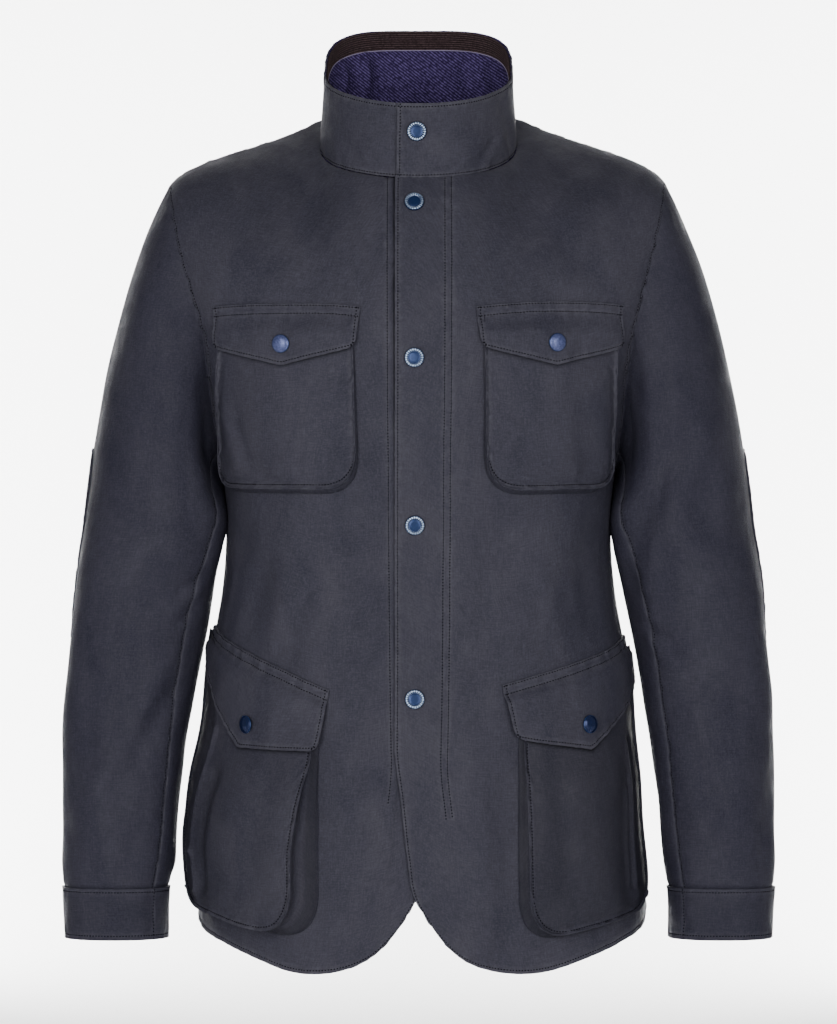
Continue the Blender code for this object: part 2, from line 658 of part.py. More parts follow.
def back_grid():
    """Turns and heights of half the back, from the centre to the wearer's left."""
    sides, arms, shoulders = PANEL_ROWS
    hem_x = np.linspace(0, float(read(BODY, 1, SIDE_HEM)), LINE_POINTS)
    hem_z = BACK_HEM + (SIDE_HEM - BACK_HEM) * (hem_x / hem_x[-1]) ** 2
    hem = np.column_stack([hem_x, hem_z])
    share = np.sin(np.linspace(0, math.pi / 2, BACK_COLUMNS)) ** (2 / BACK_SQUARE)
    bottom = np.column_stack([np.interp(share * hem_x[-1], hem_x, hem[:, c]) for c in (0, 1)])
    neck = neck_line(np.linspace(180.0, NECK_SHOULDER, BACK_COLUMNS), 1)
    neck[-1] = shoulder_corner()
    heights = np.concatenate(
        [
            np.linspace(BACK_HEM, MIDDLE_BREAKS[0], sides + 1),
            np.linspace(MIDDLE_BREAKS[0], MIDDLE_BREAKS[1], arms + 1)[1:],
            np.linspace(MIDDLE_BREAKS[1], neck[0, 1], shoulders + 1)[1:],
        ]
    )
    centre = np.column_stack([np.zeros(len(heights)), heights])
    return patch(centre, outer_edge(SIDE_HEM, PANEL_ROWS), bottom, neck, 1)


def seam_shift(grid, face):
    """Keeps a body panel back from its side seam, armhole, shoulder seam and neck seam."""
    shift = pull_back(grid, "right") + pull_back(grid, "top", NECK_SEAM)
    shift[: PANEL_ROWS[0] + 1, -1, 1] += face * SEAM
    shift[PANEL_ROWS[0] + 1 :, -1] *= 2
    shift[-PANEL_ROWS[2] - 1 :, -1, 1] += face * SHOULDER_SEAM
    return shift


def make_fronts():
    turn, z = front_grid()
    lap = lap_lift(body_point(turn, z, -1)[..., 0])
    for side, base in (("left", lap), ("right", 0 * lap)):
        faces = both_faces(lambda lift: body_lifted(turn, z, -1, base + lift), CLOTH)
        shift = seam_shift(faces[0], -1)
        faces = [grid + shift for grid in faces]
        if side == "right":
            faces = flipped(faces)
        add_wall("front_" + side, [faces], "waxed_cotton")


def make_back():
    turn, z = back_grid()
    faces = both_faces(lambda lift: body_lifted(turn, z, 1, lift), CLOTH)
    shift = seam_shift(faces[0], 1)
    whole = []
    for grid in faces:
        half = grid + shift
        # Seen from behind, the wearer's left is on the left.
        whole.append(np.concatenate([half[:, ::-1], (half * (-1, 1, 1))[:, 1:]], axis=1))
    add_wall("back", [whole], "waxed_cotton")


# ---------------------------------------------------------------- sleeves
HEAD_ROWS = 6            # rows between the armhole and the first level ring
HEAD_LEAVES = (0.42, 0.20, -0.88)  # the way a sleeve head sets off from the armhole: out, forward, down
HEAD_ARRIVES = 0.06      # and how much it still leans out at the first level ring
HEAD_SPLAY = 0.04        # its top leans out this much more than its middle, and its underarm less
CUFF_LINES = (0.0018, 0.0006)  # rows of the sleeve this far over and under the cuff's top edge
TUCK_LINES = (0.0016, -0.0004)  # heights over the cuff's top edge where the tuck starts and is whole
SLEEVE_SIDES = 24        # points round the ring that gives the sleeve's middle, and round the cuff
SLEEVE_TOP = SLEEVE[-1][0]


def armhole_point(share):
    """A point of the armhole, by its share of the way round from the shoulder point."""
    share = np.asarray(share, float) % 1.0
    height = np.linspace(UNDERARM, TIP, ARMHOLE_POINTS)
    result = np.zeros(share.shape + (3,))
    for face in (-1, 1):
        turn = turn_of(read(ARMHOLE, 1, height), height)
        line = body_point(turn, height, face)
        run = np.concatenate([[0], np.cumsum(np.linalg.norm(np.diff(line, axis=0), axis=1))])
        here = (share <= 0.5) if face < 0 else (share > 0.5)
        up = np.where(share <= 0.5, 1 - 2 * share, 2 * share - 1)
        for axis in range(3):
            value = np.interp(up * run[-1], run, line[:, axis])
            result[..., axis] = np.where(here, value, result[..., axis])
    return result


def ring_point(share, z):
    """A point of one of the sleeve's level rings."""
    angle = 2 * math.pi * np.asarray(share, float)
    outer, inner, front, back, shear = (read(SLEEVE, c, z) for c in range(1, 6))
    cosine = np.cos(angle)
    sine = np.sin(angle)
    wide = np.sign(cosine) * np.abs(cosine) ** (2 / SLEEVE_FULL)
    deep = np.sign(sine) * np.abs(sine) ** (2 / SLEEVE_FULL)
    middle = (front + back) / 2
    y = middle - deep * (back - front) / 2
    x = (outer + inner) / 2 + wide * (outer - inner) / 2 + shear * (y - middle)
    lean = RIM_LEAN * smooth(-np.asarray(z, float), -LEAN_FROM[0], -LEAN_FROM[1])
    return np.stack([x, y, z - lean * (y - middle)], axis=-1)


def tucked(grid, level, middle):
    """Draws the sleeve's end in, where it goes under the cuff."""
    z = SLEEVE_TOP + level
    start, whole = TUCK_LINES
    inset = TUCK * smooth(-z, -(CUFF_TOP + start), -(CUFF_TOP + whole))
    inward = (middle - grid) * (1, 1, 0)
    length = np.linalg.norm(inward, axis=-1, keepdims=True)
    return grid + inward / length * inset[:, None, None]


def head_point(share, down):
    """A point of the sleeve head: down is 0 at the armhole and 1 at the first level ring."""
    share, down = np.broadcast_arrays(np.asarray(share, float), np.asarray(down, float))
    start = armhole_point(share)
    end = ring_point(share, SLEEVE_TOP)
    angle = 2 * math.pi * share
    reach = np.linalg.norm(end - start, axis=-1)[..., None]
    top = np.cos(angle)
    aside, tilt, fall = HEAD_LEAVES
    leave = np.stack([aside + HEAD_SPLAY * top, -tilt * np.sin(angle), fall + 0 * top], axis=-1)
    leave = leave / np.linalg.norm(leave, axis=-1, keepdims=True)
    arrive = np.stack([HEAD_ARRIVES + HEAD_SPLAY * top, 0 * top, -1 + 0 * top], axis=-1)
    u = down[..., None]
    return (
        (2 * u**3 - 3 * u**2 + 1) * start
        + (u**3 - 2 * u**2 + u) * reach * leave
        + (3 * u**2 - 2 * u**3) * end
        + (u**3 - u**2) * reach * arrive
    )


def sleeve_fold_lift(share, z, side):
    """How far the soft folds lift a sleeve's cloth here."""
    lift = np.zeros(np.broadcast(share, z).shape)
    for row_side, z1, w1, z2, w2, width, height in SLEEVE_FOLDS:
        if row_side != side:
            continue
        along = np.clip((z - z1) / (z2 - z1), 0, 1)
        turn = (share - w1 - (w2 - w1) * along + 0.5) % 1.0 - 0.5
        aside = turn * SLEEVE_ROUND
        past = z - z1 - (z2 - z1) * along
        lift = lift + height * np.exp(-((aside**2 + past**2) / width**2))
    return lift


def sleeve_point(share, level, side, lift=0.0):
    """A point of a sleeve, given as the left one's, or one that stands off it by lift.

    Level runs from 1, the armhole, to 0, the top ring, and on down as heights below zero.
    """
    share, level = np.broadcast_arrays(np.asarray(share, float), np.asarray(level, float))
    head = head_point(share, np.clip(1 - level, 0, 1))
    rest = ring_point(share, np.minimum(SLEEVE_TOP + np.minimum(level, 0), SLEEVE_TOP))
    point = np.where((level > 0)[..., None], head, rest)
    angle = 2 * math.pi * share
    out = np.stack([np.cos(angle), -np.sin(angle), SLEEVE_TILT * np.cos(angle)], axis=-1)
    faded = smooth(1 - level, 0.0, 0.5)
    folds = sleeve_fold_lift(share, point[..., 2], side) * faded
    return point + out * (folds + lift)[..., None]


def sleeve_levels(bottom, rows):
    head = np.linspace(0, 1, HEAD_ROWS + 1)
    over, under = CUFF_LINES
    arm = np.linspace(CUFF_TOP + over - SLEEVE_TOP, 0, rows + 1)
    end = (bottom - SLEEVE_TOP, CUFF_TOP - under - SLEEVE_TOP)
    return np.concatenate([end, arm, head[1:]])


def front_seam(level):
    z = np.where(level > 0, SLEEVE_TOP + level * (UNDERARM - SLEEVE_TOP), SLEEVE_TOP + level)
    return read(SLEEVE_SEAM, 1, z)


def sleeve_faces(part, side, rows=10, columns=10):
    """The upper or under half of the left sleeve. Seen from outside, the front is on the left."""
    levels = sleeve_levels(SLEEVE_END, rows)
    seam = front_seam(levels)
    back = np.full(len(levels), BACK_SEAM)
    if part == "upper":
        start, end = seam, back - 1
    else:
        start, end = back, seam
    share = start[:, None] + (end - start)[:, None] * np.linspace(0, 1, columns)[None]
    around = sleeve_point(np.linspace(0, 1, SLEEVE_SIDES + 1)[None, :-1], levels[:, None], side)
    middle = around.mean(axis=1, keepdims=True)

    def surface(lift):
        return tucked(sleeve_point(share, levels[:, None], side, lift), levels, middle)

    faces = both_faces(surface, CLOTH)
    shift = pull_back(faces[0], "left") + pull_back(faces[0], "right")
    shift += pull_back(faces[0], "top", ARM_SEAM)
    faces = [grid + shift for grid in faces]
    return flipped(faces) if side == "right" else faces


def make_sleeves():
    for part in ("upper", "under"):
        for side in ("left", "right"):
            add_wall(f"sleeve_{part}_{side}", [sleeve_faces(part, side)], "waxed_cotton")


def make_cuffs():
    share = np.linspace(1, 0, SLEEVE_SIDES + 1)
    heights = np.linspace(CUFF_BOTTOM, CUFF_TOP, 3)
    ring = ring_point(share[None], heights[:, None] + 0 * share[None])
    middle = ring[:, 1:].mean(axis=1, keepdims=True)
    out = (ring - middle) * (1, 1, 0)
    out = out / np.linalg.norm(out, axis=-1, keepdims=True)
    faces = both_faces(lambda lift: ring + out * (CUFF_OUT + lift), CUFF_WALL)
    add_wall("cuff_left", [faces], "waxed_cotton")
    add_wall("cuff_right", [flipped(faces)], "waxed_cotton")


# ---------------------------------------------------------------- collar
def neck_point(degrees):
    """A point of the neck seam on the body, round from the centre front by the wearer's left."""
    degrees = np.asarray(degrees, float)
    flat = degrees.ravel() % 360
    side = np.where(flat > 180, -1.0, 1.0)
    flat = np.where(flat > 180, 360 - flat, flat)
    front = neck_line(np.minimum(flat, NECK_SHOULDER), -1)
    behind = neck_line(np.maximum(flat, NECK_SHOULDER), 1)
    on_front = body_point(turn_of(front[:, 0], front[:, 1]), front[:, 1], -1)
    on_back = body_point(turn_of(behind[:, 0], behind[:, 1]), behind[:, 1], 1)
    points = np.where((flat <= NECK_SHOULDER)[:, None], on_front, on_back)
    points[:, 0] *= side
    return points.reshape(degrees.shape + (3,))


def collar_top(degrees):
    """A point of the collar's top edge, round from the centre front by the wearer's left."""
    angle = np.radians(degrees)
    sine = np.sin(angle)
    cosine = np.cos(angle)
    behind = cosine < 0
    power = np.where(behind, COLLAR_SQUARE, 2.0)
    x = COLLAR_WIDE * np.sign(sine) * np.abs(sine) ** (2 / power)
    y = OVAL_CENTRE - COLLAR_DEPTH * np.sign(cosine) * np.abs(cosine) ** (2 / power)
    share = np.abs(x) / COLLAR_WIDE
    level = np.clip(1 - share**COLLAR_LEVEL, 0, 1) ** (1 / COLLAR_LEVEL)
    ahead = COLLAR_SIDE - (COLLAR_SIDE - COLLAR_FRONT) * cosine
    z = np.where(behind, COLLAR_SIDE + (COLLAR_BACK - COLLAR_SIDE) * level, ahead)
    return np.stack([x, y, z], axis=-1)


def collar_point(degrees, up, lift):
    """A point of the stand collar: up is 0 at the neck seam and 1 at the top edge."""
    degrees, up, lift = np.broadcast_arrays(np.asarray(degrees, float), up, lift)
    base = neck_point(degrees)
    top = collar_top(degrees)
    angle = np.radians(degrees)
    out = np.stack([np.sin(angle) / COLLAR_WIDE, -np.cos(angle) / COLLAR_DEPTH, 0 * angle], axis=-1)
    out = out / np.linalg.norm(out, axis=-1, keepdims=True)
    u = np.asarray(up)[..., None]
    return base * (1 - u) + top * u + out * np.asarray(lift)[..., None]


def collar_lap(degrees):
    """The upper end's lift: whole at the centre front on the wearer's left, none at the back."""
    return COLLAR_LIFT * (1 - smooth(degrees, *COLLAR_EASE))


def collar_height(degrees):
    return np.linalg.norm(collar_top(degrees) - neck_point(degrees), axis=-1)


def collar_turns():
    return np.linspace(-COLLAR_END, 360 + COLLAR_END, COLLAR_COLUMNS)[None]


def collar_wall(name, low, high, inset, rows, wall, finish):
    """A band round the collar, from low over the neck seam to high under the top edge."""
    degrees = collar_turns()
    height = collar_height(degrees)
    up = low / height + (1 - (low + high) / height) * np.linspace(0, 1, rows)[:, None]
    outer = collar_lap(degrees) - inset
    faces = both_faces(lambda lift: collar_point(degrees, up, outer + lift), wall)
    add_wall(name, [faces], finish)


def make_collar():
    inside = COLLAR_WALL + COLLAR_GAP
    bare = collar_height(collar_turns()) - FACING_DEEP
    collar_wall("collar", COLLAR_CLEAR, 0.0, 0.0, 4, COLLAR_WALL, "waxed_cotton")
    collar_wall("collar_facing", bare, FACING_EDGE, inside, 3, LIGHT_CLOTH, "corduroy")
    low = FACING_DEEP + SEAM
    collar_wall("neck_lining", LINING_DROP, low, inside, 3, LIGHT_CLOTH, "lining_twill")


# ---------------------------------------------------------------- pockets and flaps
ARC_POINTS = 5           # on each half of a bag's rounded corner
OUTLINE_POINTS = 201     # enough points on an outline to read shares of it


def half_arcs(before, corner, after, radius):
    """The two halves of a rounded corner, from the line before it and to the line after it."""
    before, corner, after = (np.array(point) for point in (before, corner, after))
    start = corner + (before - corner) / np.linalg.norm(before - corner) * radius
    end = corner + (after - corner) / np.linalg.norm(after - corner) * radius
    share = np.linspace(0, 1, 2 * ARC_POINTS - 1)[:, None]
    arc = (1 - share) ** 2 * start + 2 * share * (1 - share) * corner + share**2 * end
    return arc[:ARC_POINTS], arc[ARC_POINTS - 1 :]


def even_lines(points, count):
    """Points evenly spaced along straight lines between the given ones."""
    points = np.array(points, float)
    run = np.concatenate([[0], np.cumsum(np.linalg.norm(np.diff(points, axis=0), axis=1))])
    at = np.linspace(0, run[-1], count)
    return np.column_stack([np.interp(at, run, points[:, 0]), np.interp(at, run, points[:, 1])])


def flat_patch(left, right, bottom, top, s, t):
    """Points (across, height) inside four lines, at shares s up and t to the outer side."""
    lines = [even_lines(line, OUTLINE_POINTS) for line in (left, right, bottom, top)]
    share = np.linspace(0, 1, OUTLINE_POINTS)

    def at(line, where):
        return np.stack([np.interp(where, share, line[:, c]) for c in (0, 1)], axis=-1)

    left, right, bottom, top = lines
    s = np.asarray(s, float)[:, None]
    t = np.asarray(t, float)[None, :]
    sides = (1 - t)[..., None] * at(left, s) + t[..., None] * at(right, s)
    ends = (1 - s)[..., None] * at(bottom, t) + s[..., None] * at(top, t)
    low = (1 - t)[..., None] * left[0] + t[..., None] * right[0]
    high = (1 - t)[..., None] * left[-1] + t[..., None] * right[-1]
    return sides + ends - (1 - s)[..., None] * low - s[..., None] * high


def front_cloth(across, z, lift, side):
    """A point over a front panel: across is the distance round the cloth from the centre."""
    turn = turn_at(across, z, -1)
    if side == "left":
        lift = lift + lap_lift(body_point(turn, z, -1)[..., 0])
    return body_lifted(turn, z, -1, lift)


def bag_depth(kind, side, across, z):
    """How far a bag's face stands off the front."""
    if kind == "chest":
        mouth, foot = CHEST_DEPTHS
        return mouth + (foot - mouth) * smooth(-z, -CHEST_TOP, -CHEST_FULL)
    mouth, inner, outer = LOWER_DEPTHS[side]
    foot = inner + (outer - inner) * smooth(across, *LOWER_TURNS)
    return mouth + (foot - mouth) * smooth(-z, -LOWER_SWELLS[0], -LOWER_SWELLS[1])


def bag_lean(kind, side, across, z):
    """How far a bag's face leans outwards from its sewn line, most at the inner edge's foot."""
    if kind == "chest":
        return 0 * across
    low, whole = LEAN_HEIGHTS
    return LOWER_LEAN[side] * smooth(-z, -low, -whole) * (1 - smooth(across, *LEAN_ENDS))


def bag_lines(kind, side):
    """A bag's outline as four lines of points (across, height), its lower corners rounded."""
    in_top, out_top, in_low, out_low = BAG_CORNERS[kind, side]
    foot = (np.array(in_low) + out_low) / 2
    in_side, in_foot = half_arcs(in_top, in_low, foot, BAG_ROUND[kind])
    out_side, out_foot = half_arcs(out_top, out_low, foot, BAG_ROUND[kind])
    left = [*in_side[::-1], in_top]
    right = [*out_side[::-1], out_top]
    return left, right, [*in_foot, *out_foot[::-1]], [in_top, out_top]


def scaled(flat, middle, top, wide, tall, inset):
    """An outline's points moved in by inset at the sides and the foot, with its mouth kept."""
    share = (1 - 2 * inset / wide, 1 - inset / tall)
    return (flat - (middle, top)) * share + (middle, top)


def make_bag(kind, side, rows, columns):
    """A bag: a face that stands off the front, and a gusset from its edges back to the front."""
    left, right, bottom, top = bag_lines(kind, side)
    wide = right[-1][0] - left[-1][0]
    tall = top[0][1] - min(point[1] for point in bottom)
    middle = (right[-1][0] + left[-1][0]) / 2
    shares = (np.linspace(0, 1, rows), np.linspace(0, 1, columns))
    whole = flat_patch(left, right, bottom, top, *shares)
    rim = np.concatenate([whole[::-1, 0], whole[0, 1:], whole[1:, -1]])

    def faces(flat, inset, share):
        result = []
        for extra in (0.0, LIGHT_CLOTH):
            across, z = np.moveaxis(scaled(flat, middle, top[0][1], wide, tall, inset + extra), -1, 0)
            across = across + bag_lean(kind, side, across, z) * share
            if not extra:
                depth = bag_depth(kind, side, across, z) - ON_PANEL
            result.append(front_cloth(across, z, ON_PANEL + (depth - extra) * share, side))
        return result

    gusset = []
    for inset, share in GUSSET_ROWS:
        gusset.append(faces(rim, GUSSET * inset, share))
    gusset = [np.stack([row[face] for row in gusset]) for face in (0, 1)]
    patches = [faces(whole, GUSSET, 1.0), gusset]
    if side == "right":
        patches = [flipped(patch_faces) for patch_faces in patches]
    add_wall(f"{kind}_pocket_{side}", patches, "waxed_cotton")


def flap_faces(kind, side, rows, columns):
    """A flap: sewn down along its top, and lying over the bag's face."""
    upper_in, upper_out, lower_in, point, lower_out = FLAP_LINES[kind, side]
    s = np.linspace(0, 1, rows)
    t = np.linspace(0, 1, columns)
    sides = ((lower_in, upper_in), (lower_out, upper_out))
    ends = ((lower_in, point, lower_out), (upper_in, upper_out))
    flat = flat_patch(*sides, *ends, s, t)
    across = flat[..., 0]
    z = flat[..., 1] + FLAP_ARCH[kind, side] * 4 * (t * (1 - t))[None] * s[:, None]
    sewn = ON_PANEL + LIGHT_CLOTH
    over = bag_depth(kind, side, across, z) + FLAP_OVER
    base = sewn + (over - sewn) * smooth(1 - s, 0.0, FLAP_TURNS)[:, None]
    faces = both_faces(lambda lift: front_cloth(across, z, base + lift, side), LIGHT_CLOTH)
    return flipped(faces) if side == "right" else faces


def make_pockets():
    for side in ("left", "right"):
        make_bag("chest", side, 5, 8)
        make_bag("lower", side, 8, 7)
        for kind in ("chest", "lower"):
            add_wall(f"{kind}_flap_{side}", [flap_faces(kind, side, 7, 9)], "waxed_cotton")


# ---------------------------------------------------------------- snaps and elbow patches
def add_snap(name, place, out, profile):
    """A round snap cap, turned from its profile, with its back at a place and facing out."""
    bm = bmesh.new()
    line = [bm.verts.new((radius, 0, height)) for radius, height in profile]
    edges = [bm.edges.new(pair) for pair in zip(line, line[1:])]
    bmesh.ops.spin(
        bm,
        geom=line + edges,
        axis=(0, 0, 1),
        cent=(0, 0, 0),
        angle=2 * math.pi,
        steps=SNAP_SIDES,
        use_merge=True,
    )
    bmesh.ops.remove_doubles(bm, verts=bm.verts, dist=1e-6)
    bmesh.ops.recalc_face_normals(bm, faces=bm.faces)
    if bm.calc_volume(signed=True) < 0:
        bmesh.ops.reverse_faces(bm, faces=bm.faces)
    made = add_object(name, bm, "snap_enamel")
    turn = Vector((0, 0, 1)).rotation_difference(Vector(out))
    made.matrix_world = Matrix.Translation(Vector(place)) @ turn.to_matrix().to_4x4()


def snap_on_front(name, across, z, lift, side, profile):
    """A snap that faces out from the front's cloth, with its back at that lift."""
    low = front_cloth(across, z, 0.0, side)
    high = front_cloth(across, z, lift, side)
    out = (high - low) / np.linalg.norm(high - low)
    place = settled(high * (-1 if side == "right" else 1, 1, 1))
    out = out * (-1 if side == "right" else 1, 1, 1)
    add_snap(name, place, out, profile)


def make_snaps():
    for index, z in enumerate(SNAP_HEIGHTS):
        snap_on_front(f"snap_front_{index + 1}", SNAP_ACROSS, z, SNAP_OVER, "left", RING_SNAP)
    low = collar_point(COLLAR_SNAP_TURN, COLLAR_SNAP_UP, COLLAR_LIFT)
    high = collar_point(COLLAR_SNAP_TURN, COLLAR_SNAP_UP, COLLAR_LIFT + SNAP_OVER)
    add_snap("snap_collar", high, (high - low) / np.linalg.norm(high - low), RING_SNAP)
    for side in ("left", "right"):
        for kind, (across, z) in (("chest", CHEST_SNAP), ("lower", LOWER_SNAP)):
            lift = float(bag_depth(kind, side, across, z)) + FLAP_OVER + SNAP_ON_FLAP
            snap_on_front(f"snap_{kind}_{side}", across, z, lift, side, DOME_SNAP)


def make_elbow_patches(rows=10, columns=8):
    v = np.sin(np.linspace(-PATCH_REACH, PATCH_REACH, rows))
    start, end = PATCH_TURNS
    low, high = PATCH_LEVELS
    half = (end - start) / 2 * (1 - np.abs(v) ** PATCH_SQUARE) ** (1 / PATCH_SQUARE)
    levels = ((low + high) / 2 + v * (high - low) / 2)[:, None]
    # Seen from outside, the front of the left sleeve is on the left.
    share = (start + end) / 2 + half[:, None] * np.linspace(1, -1, columns)[None]
    base = PATCH_LIFT + LIGHT_CLOTH
    for side in ("left", "right"):
        faces = both_faces(lambda lift: sleeve_point(share, levels, side, base + lift), LIGHT_CLOTH)
        if side == "right":
            faces = flipped(faces)
        add_wall(f"elbow_patch_{side}", [faces], "waxed_cotton")


def clear_scene():
    for existing in list(bpy.data.objects):
        bpy.data.objects.remove(existing, do_unlink=True)


def main():
    clear_scene()
    make_fronts()
    make_back()
    make_sleeves()
    make_cuffs()
    make_collar()
    make_pockets()
    make_snaps()
    make_elbow_patches()


main()
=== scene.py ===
# %% [markdown]
# # A waxed cotton field jacket, worn by nobody
#
# The jacket is filled out as if somebody stood in it, and hollow. Its solids come ready made in the frame,
# as plain walls of cloth. This lesson lays finer cloth on the same surfaces, with folds, seams and stitches,
# and gives each cloth its weave. Everything is in metres. The front faces -Y and Z is up.

# %% Load the frame
import math

import bmesh
import bpy
import numpy as np
from mathutils import Matrix, Vector


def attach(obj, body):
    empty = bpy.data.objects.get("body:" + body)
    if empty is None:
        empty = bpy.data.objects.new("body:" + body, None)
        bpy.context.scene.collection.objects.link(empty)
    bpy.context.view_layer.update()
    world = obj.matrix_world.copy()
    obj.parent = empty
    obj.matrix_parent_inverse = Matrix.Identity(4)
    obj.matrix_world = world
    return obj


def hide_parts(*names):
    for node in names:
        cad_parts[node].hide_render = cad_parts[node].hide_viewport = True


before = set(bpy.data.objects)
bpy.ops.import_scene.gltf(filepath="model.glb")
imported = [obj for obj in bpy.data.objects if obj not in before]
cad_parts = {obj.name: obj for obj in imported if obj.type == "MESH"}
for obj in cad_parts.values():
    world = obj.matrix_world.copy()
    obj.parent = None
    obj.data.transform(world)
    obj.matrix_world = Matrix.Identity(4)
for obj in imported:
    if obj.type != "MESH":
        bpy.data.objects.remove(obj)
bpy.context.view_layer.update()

# %% [markdown]
# ## The jacket's measures
#
# A tailor keeps a jacket as a short list of measures, and so does this lesson. A ring of the body is a
# superellipse: its half width runs to the side seam, its depths run to the front and to the back, and its
# power says how square it is. The shoulder tables say where the front and the back meet, and how the cloth
# rolls down from there.

# %% Measures of the body
CLOTH = 0.0018
LIGHT_CLOTH = 0.0012
ON_PANEL = 0.0011
LAP = 0.0205
LAP_LIFT = 0.003
LAP_EASE = (0.03, 0.07)
UNDERARM = -0.305
TIP = -0.029
TIP_OUT = 0.2215
RIGHT_DROP = 0.003
RIGHT_OUT = 0.0025
RIGHT_FOOT = 0.0065

FULLNESS = 2.35

#   height  half_width front_depth back_depth
BODY = (
    (-0.78, 0.21, 0.148, 0.133),
    (-0.69, 0.206, 0.145, 0.132),
    (-0.639, 0.2015, 0.141, 0.131),
    (-0.585, 0.196, 0.138, 0.129),
    (-0.531, 0.1915, 0.135, 0.125),
    (-0.477, 0.1885, 0.131, 0.118),
    (-0.45, 0.1855, 0.1285, 0.114),
    (-0.396, 0.1765, 0.125, 0.109),
    (-0.35, 0.173, 0.125, 0.112),
    (-0.305, 0.1745, 0.128, 0.119),
    (-0.27, 0.18, 0.13, 0.124),
    (-0.24, 0.1865, 0.131, 0.127),
    (-0.21, 0.1945, 0.131, 0.129),
    (-0.155, 0.2145, 0.1285, 0.131),
    (-0.1, 0.232, 0.1265, 0.131),
    (-0.05, 0.246, 0.129, 0.129),
    (0.0, 0.256, 0.132, 0.127),
    (0.06, 0.262, 0.134, 0.125),
)
#   across  height  depth, then roll and power in front, and roll and power behind
SHOULDER = (
    (0.072, 0.0345, 0.0355, 0.21, 0.76, 0.148, 0.58),
    (0.088, 0.0305, 0.036, 0.208, 0.88, 0.146, 0.57),
    (0.1125, 0.02, 0.033, 0.195, 0.83, 0.14, 0.56),
    (0.14, 0.0098, 0.028, 0.178, 0.74, 0.132, 0.55),
    (0.17, -0.0005, 0.022, 0.158, 0.65, 0.124, 0.54),
    (0.195, -0.0105, 0.016, 0.136, 0.58, 0.114, 0.52),
    (0.213, -0.021, 0.012, 0.12, 0.52, 0.107, 0.51),
    (0.2225, -0.03, 0.01, 0.112, 0.5, 0.102, 0.5),
    (0.245, -0.055, 0.01, 0.112, 0.5, 0.102, 0.5),
)
#   in the neck the two differ in height and depth too
FRONT_NECK = ((0.0, 0.035, 0.0, 0.21, 0.69), (0.045, 0.0352, 0.012, 0.21, 0.69))
BACK_NECK = ((0.0, 0.052, 0.04, 0.15, 0.58), (0.045, 0.045, 0.038, 0.15, 0.58))
SHOULDERS = {
    -1: (*FRONT_NECK, *(row[:5] for row in SHOULDER)),
    1: (*BACK_NECK, *(row[:3] + row[5:] for row in SHOULDER)),
}
#   height  across
ARMHOLE = (
    (-0.305, 0.1745),
    (-0.27, 0.179),
    (-0.24, 0.1822),
    (-0.2, 0.1868),
    (-0.16, 0.1915),
    (-0.12, 0.201),
    (-0.09, 0.2095),
    (-0.06, 0.216),
    (-0.029, 0.2215),
)
#   across   height
CUTAWAY = (
    (-0.0205, -0.5),
    (-0.0205, -0.53),
    (-0.0155, -0.57),
    (-0.01, -0.619),
    (-0.003, -0.657),
    (0.0074, -0.6745),
    (0.016, -0.6875),
    (0.0273, -0.7005),
    (0.0455, -0.7135),
    (0.0654, -0.7205),
    (0.088, -0.7235),
    (0.112, -0.7225),
    (0.143, -0.714),
    (0.177, -0.703),
    (0.202, -0.6905),
)
CORNER_ROW = 6
SIDE_HEM = -0.675
BACK_HEM = -0.683
NECK_WIDE = 0.088
NECK_SHOULDER = 125.0
NECK_FRONT = -0.0295
NECK_RISE = 0.0732
NECK_DIP = 0.0055
NECK_CLIMB = 0.0095
OVAL_CENTRE = -0.0085
OVAL_DEPTH = 0.0765
print("chest ring is", round(2 * BODY[10][1], 3), "wide and", round(BODY[10][2] + BODY[10][3], 3), "deep")

# %% [markdown]
# ## Reading the measures
#
# The measures are few, so a smooth reading is needed between them. A cubic curve through the points does
# that: its slope at each point is the slope between the point's neighbours, and no corner shows.

# %% Smooth readings
def hermite(u, start, leave, end, arrive):
    """A cubic between two values, from the slope it leaves with to the one it arrives with."""
    return (
        (2 * u**3 - 3 * u**2 + 1) * start
        + (u**3 - 2 * u**2 + u) * leave
        + (3 * u**2 - 2 * u**3) * end
        + (u**3 - u**2) * arrive
    )


def read(rows, column, at):
    """One column of a table, at the given values of its first column."""
    table = np.array(rows, float)
    keys, values = table[:, 0], table[:, column]
    slopes = np.gradient(values, keys)
    at = np.clip(at, keys[0], keys[-1])
    i = np.clip(np.searchsorted(keys, at) - 1, 0, len(keys) - 2)
    step = keys[i + 1] - keys[i]
    return hermite((at - keys[i]) / step, values[i], step * slopes[i], values[i + 1], step * slopes[i + 1])


def smooth(at, start, end):
    """0 before the start, 1 past the end, and an even S between."""
    u = np.clip((np.asarray(at, float) - start) / (end - start), 0.0, 1.0)
    return u * u * (3 - 2 * u)


def bell(off, width):
    return np.exp(-((off / width) ** 2))


def unit(ways):
    return ways / np.linalg.norm(ways, axis=-1, keepdims=True)


def running(points, axis=0):
    """How far along its line each point is, for lines that follow the given axis."""
    steps = np.diff(points, axis=axis, prepend=np.take(points, [0], axis))
    return np.cumsum(np.linalg.norm(steps, axis=-1), axis=axis)


def between(at, run, values):
    """Rows of values, read straight between their places on a line."""
    return np.stack([np.interp(at, run, column) for column in values.T], axis=-1)


def spread(points, count):
    """The same curve with evenly spaced points."""
    points = np.array(points, float)
    run = running(points)
    rows = np.column_stack([run, points])
    at = np.linspace(0.0, run[-1], count)
    return np.column_stack([read(rows, column, at) for column in (1, 2)])


print("half width at the waist:", round(float(read(BODY, 1, -0.36)), 4))

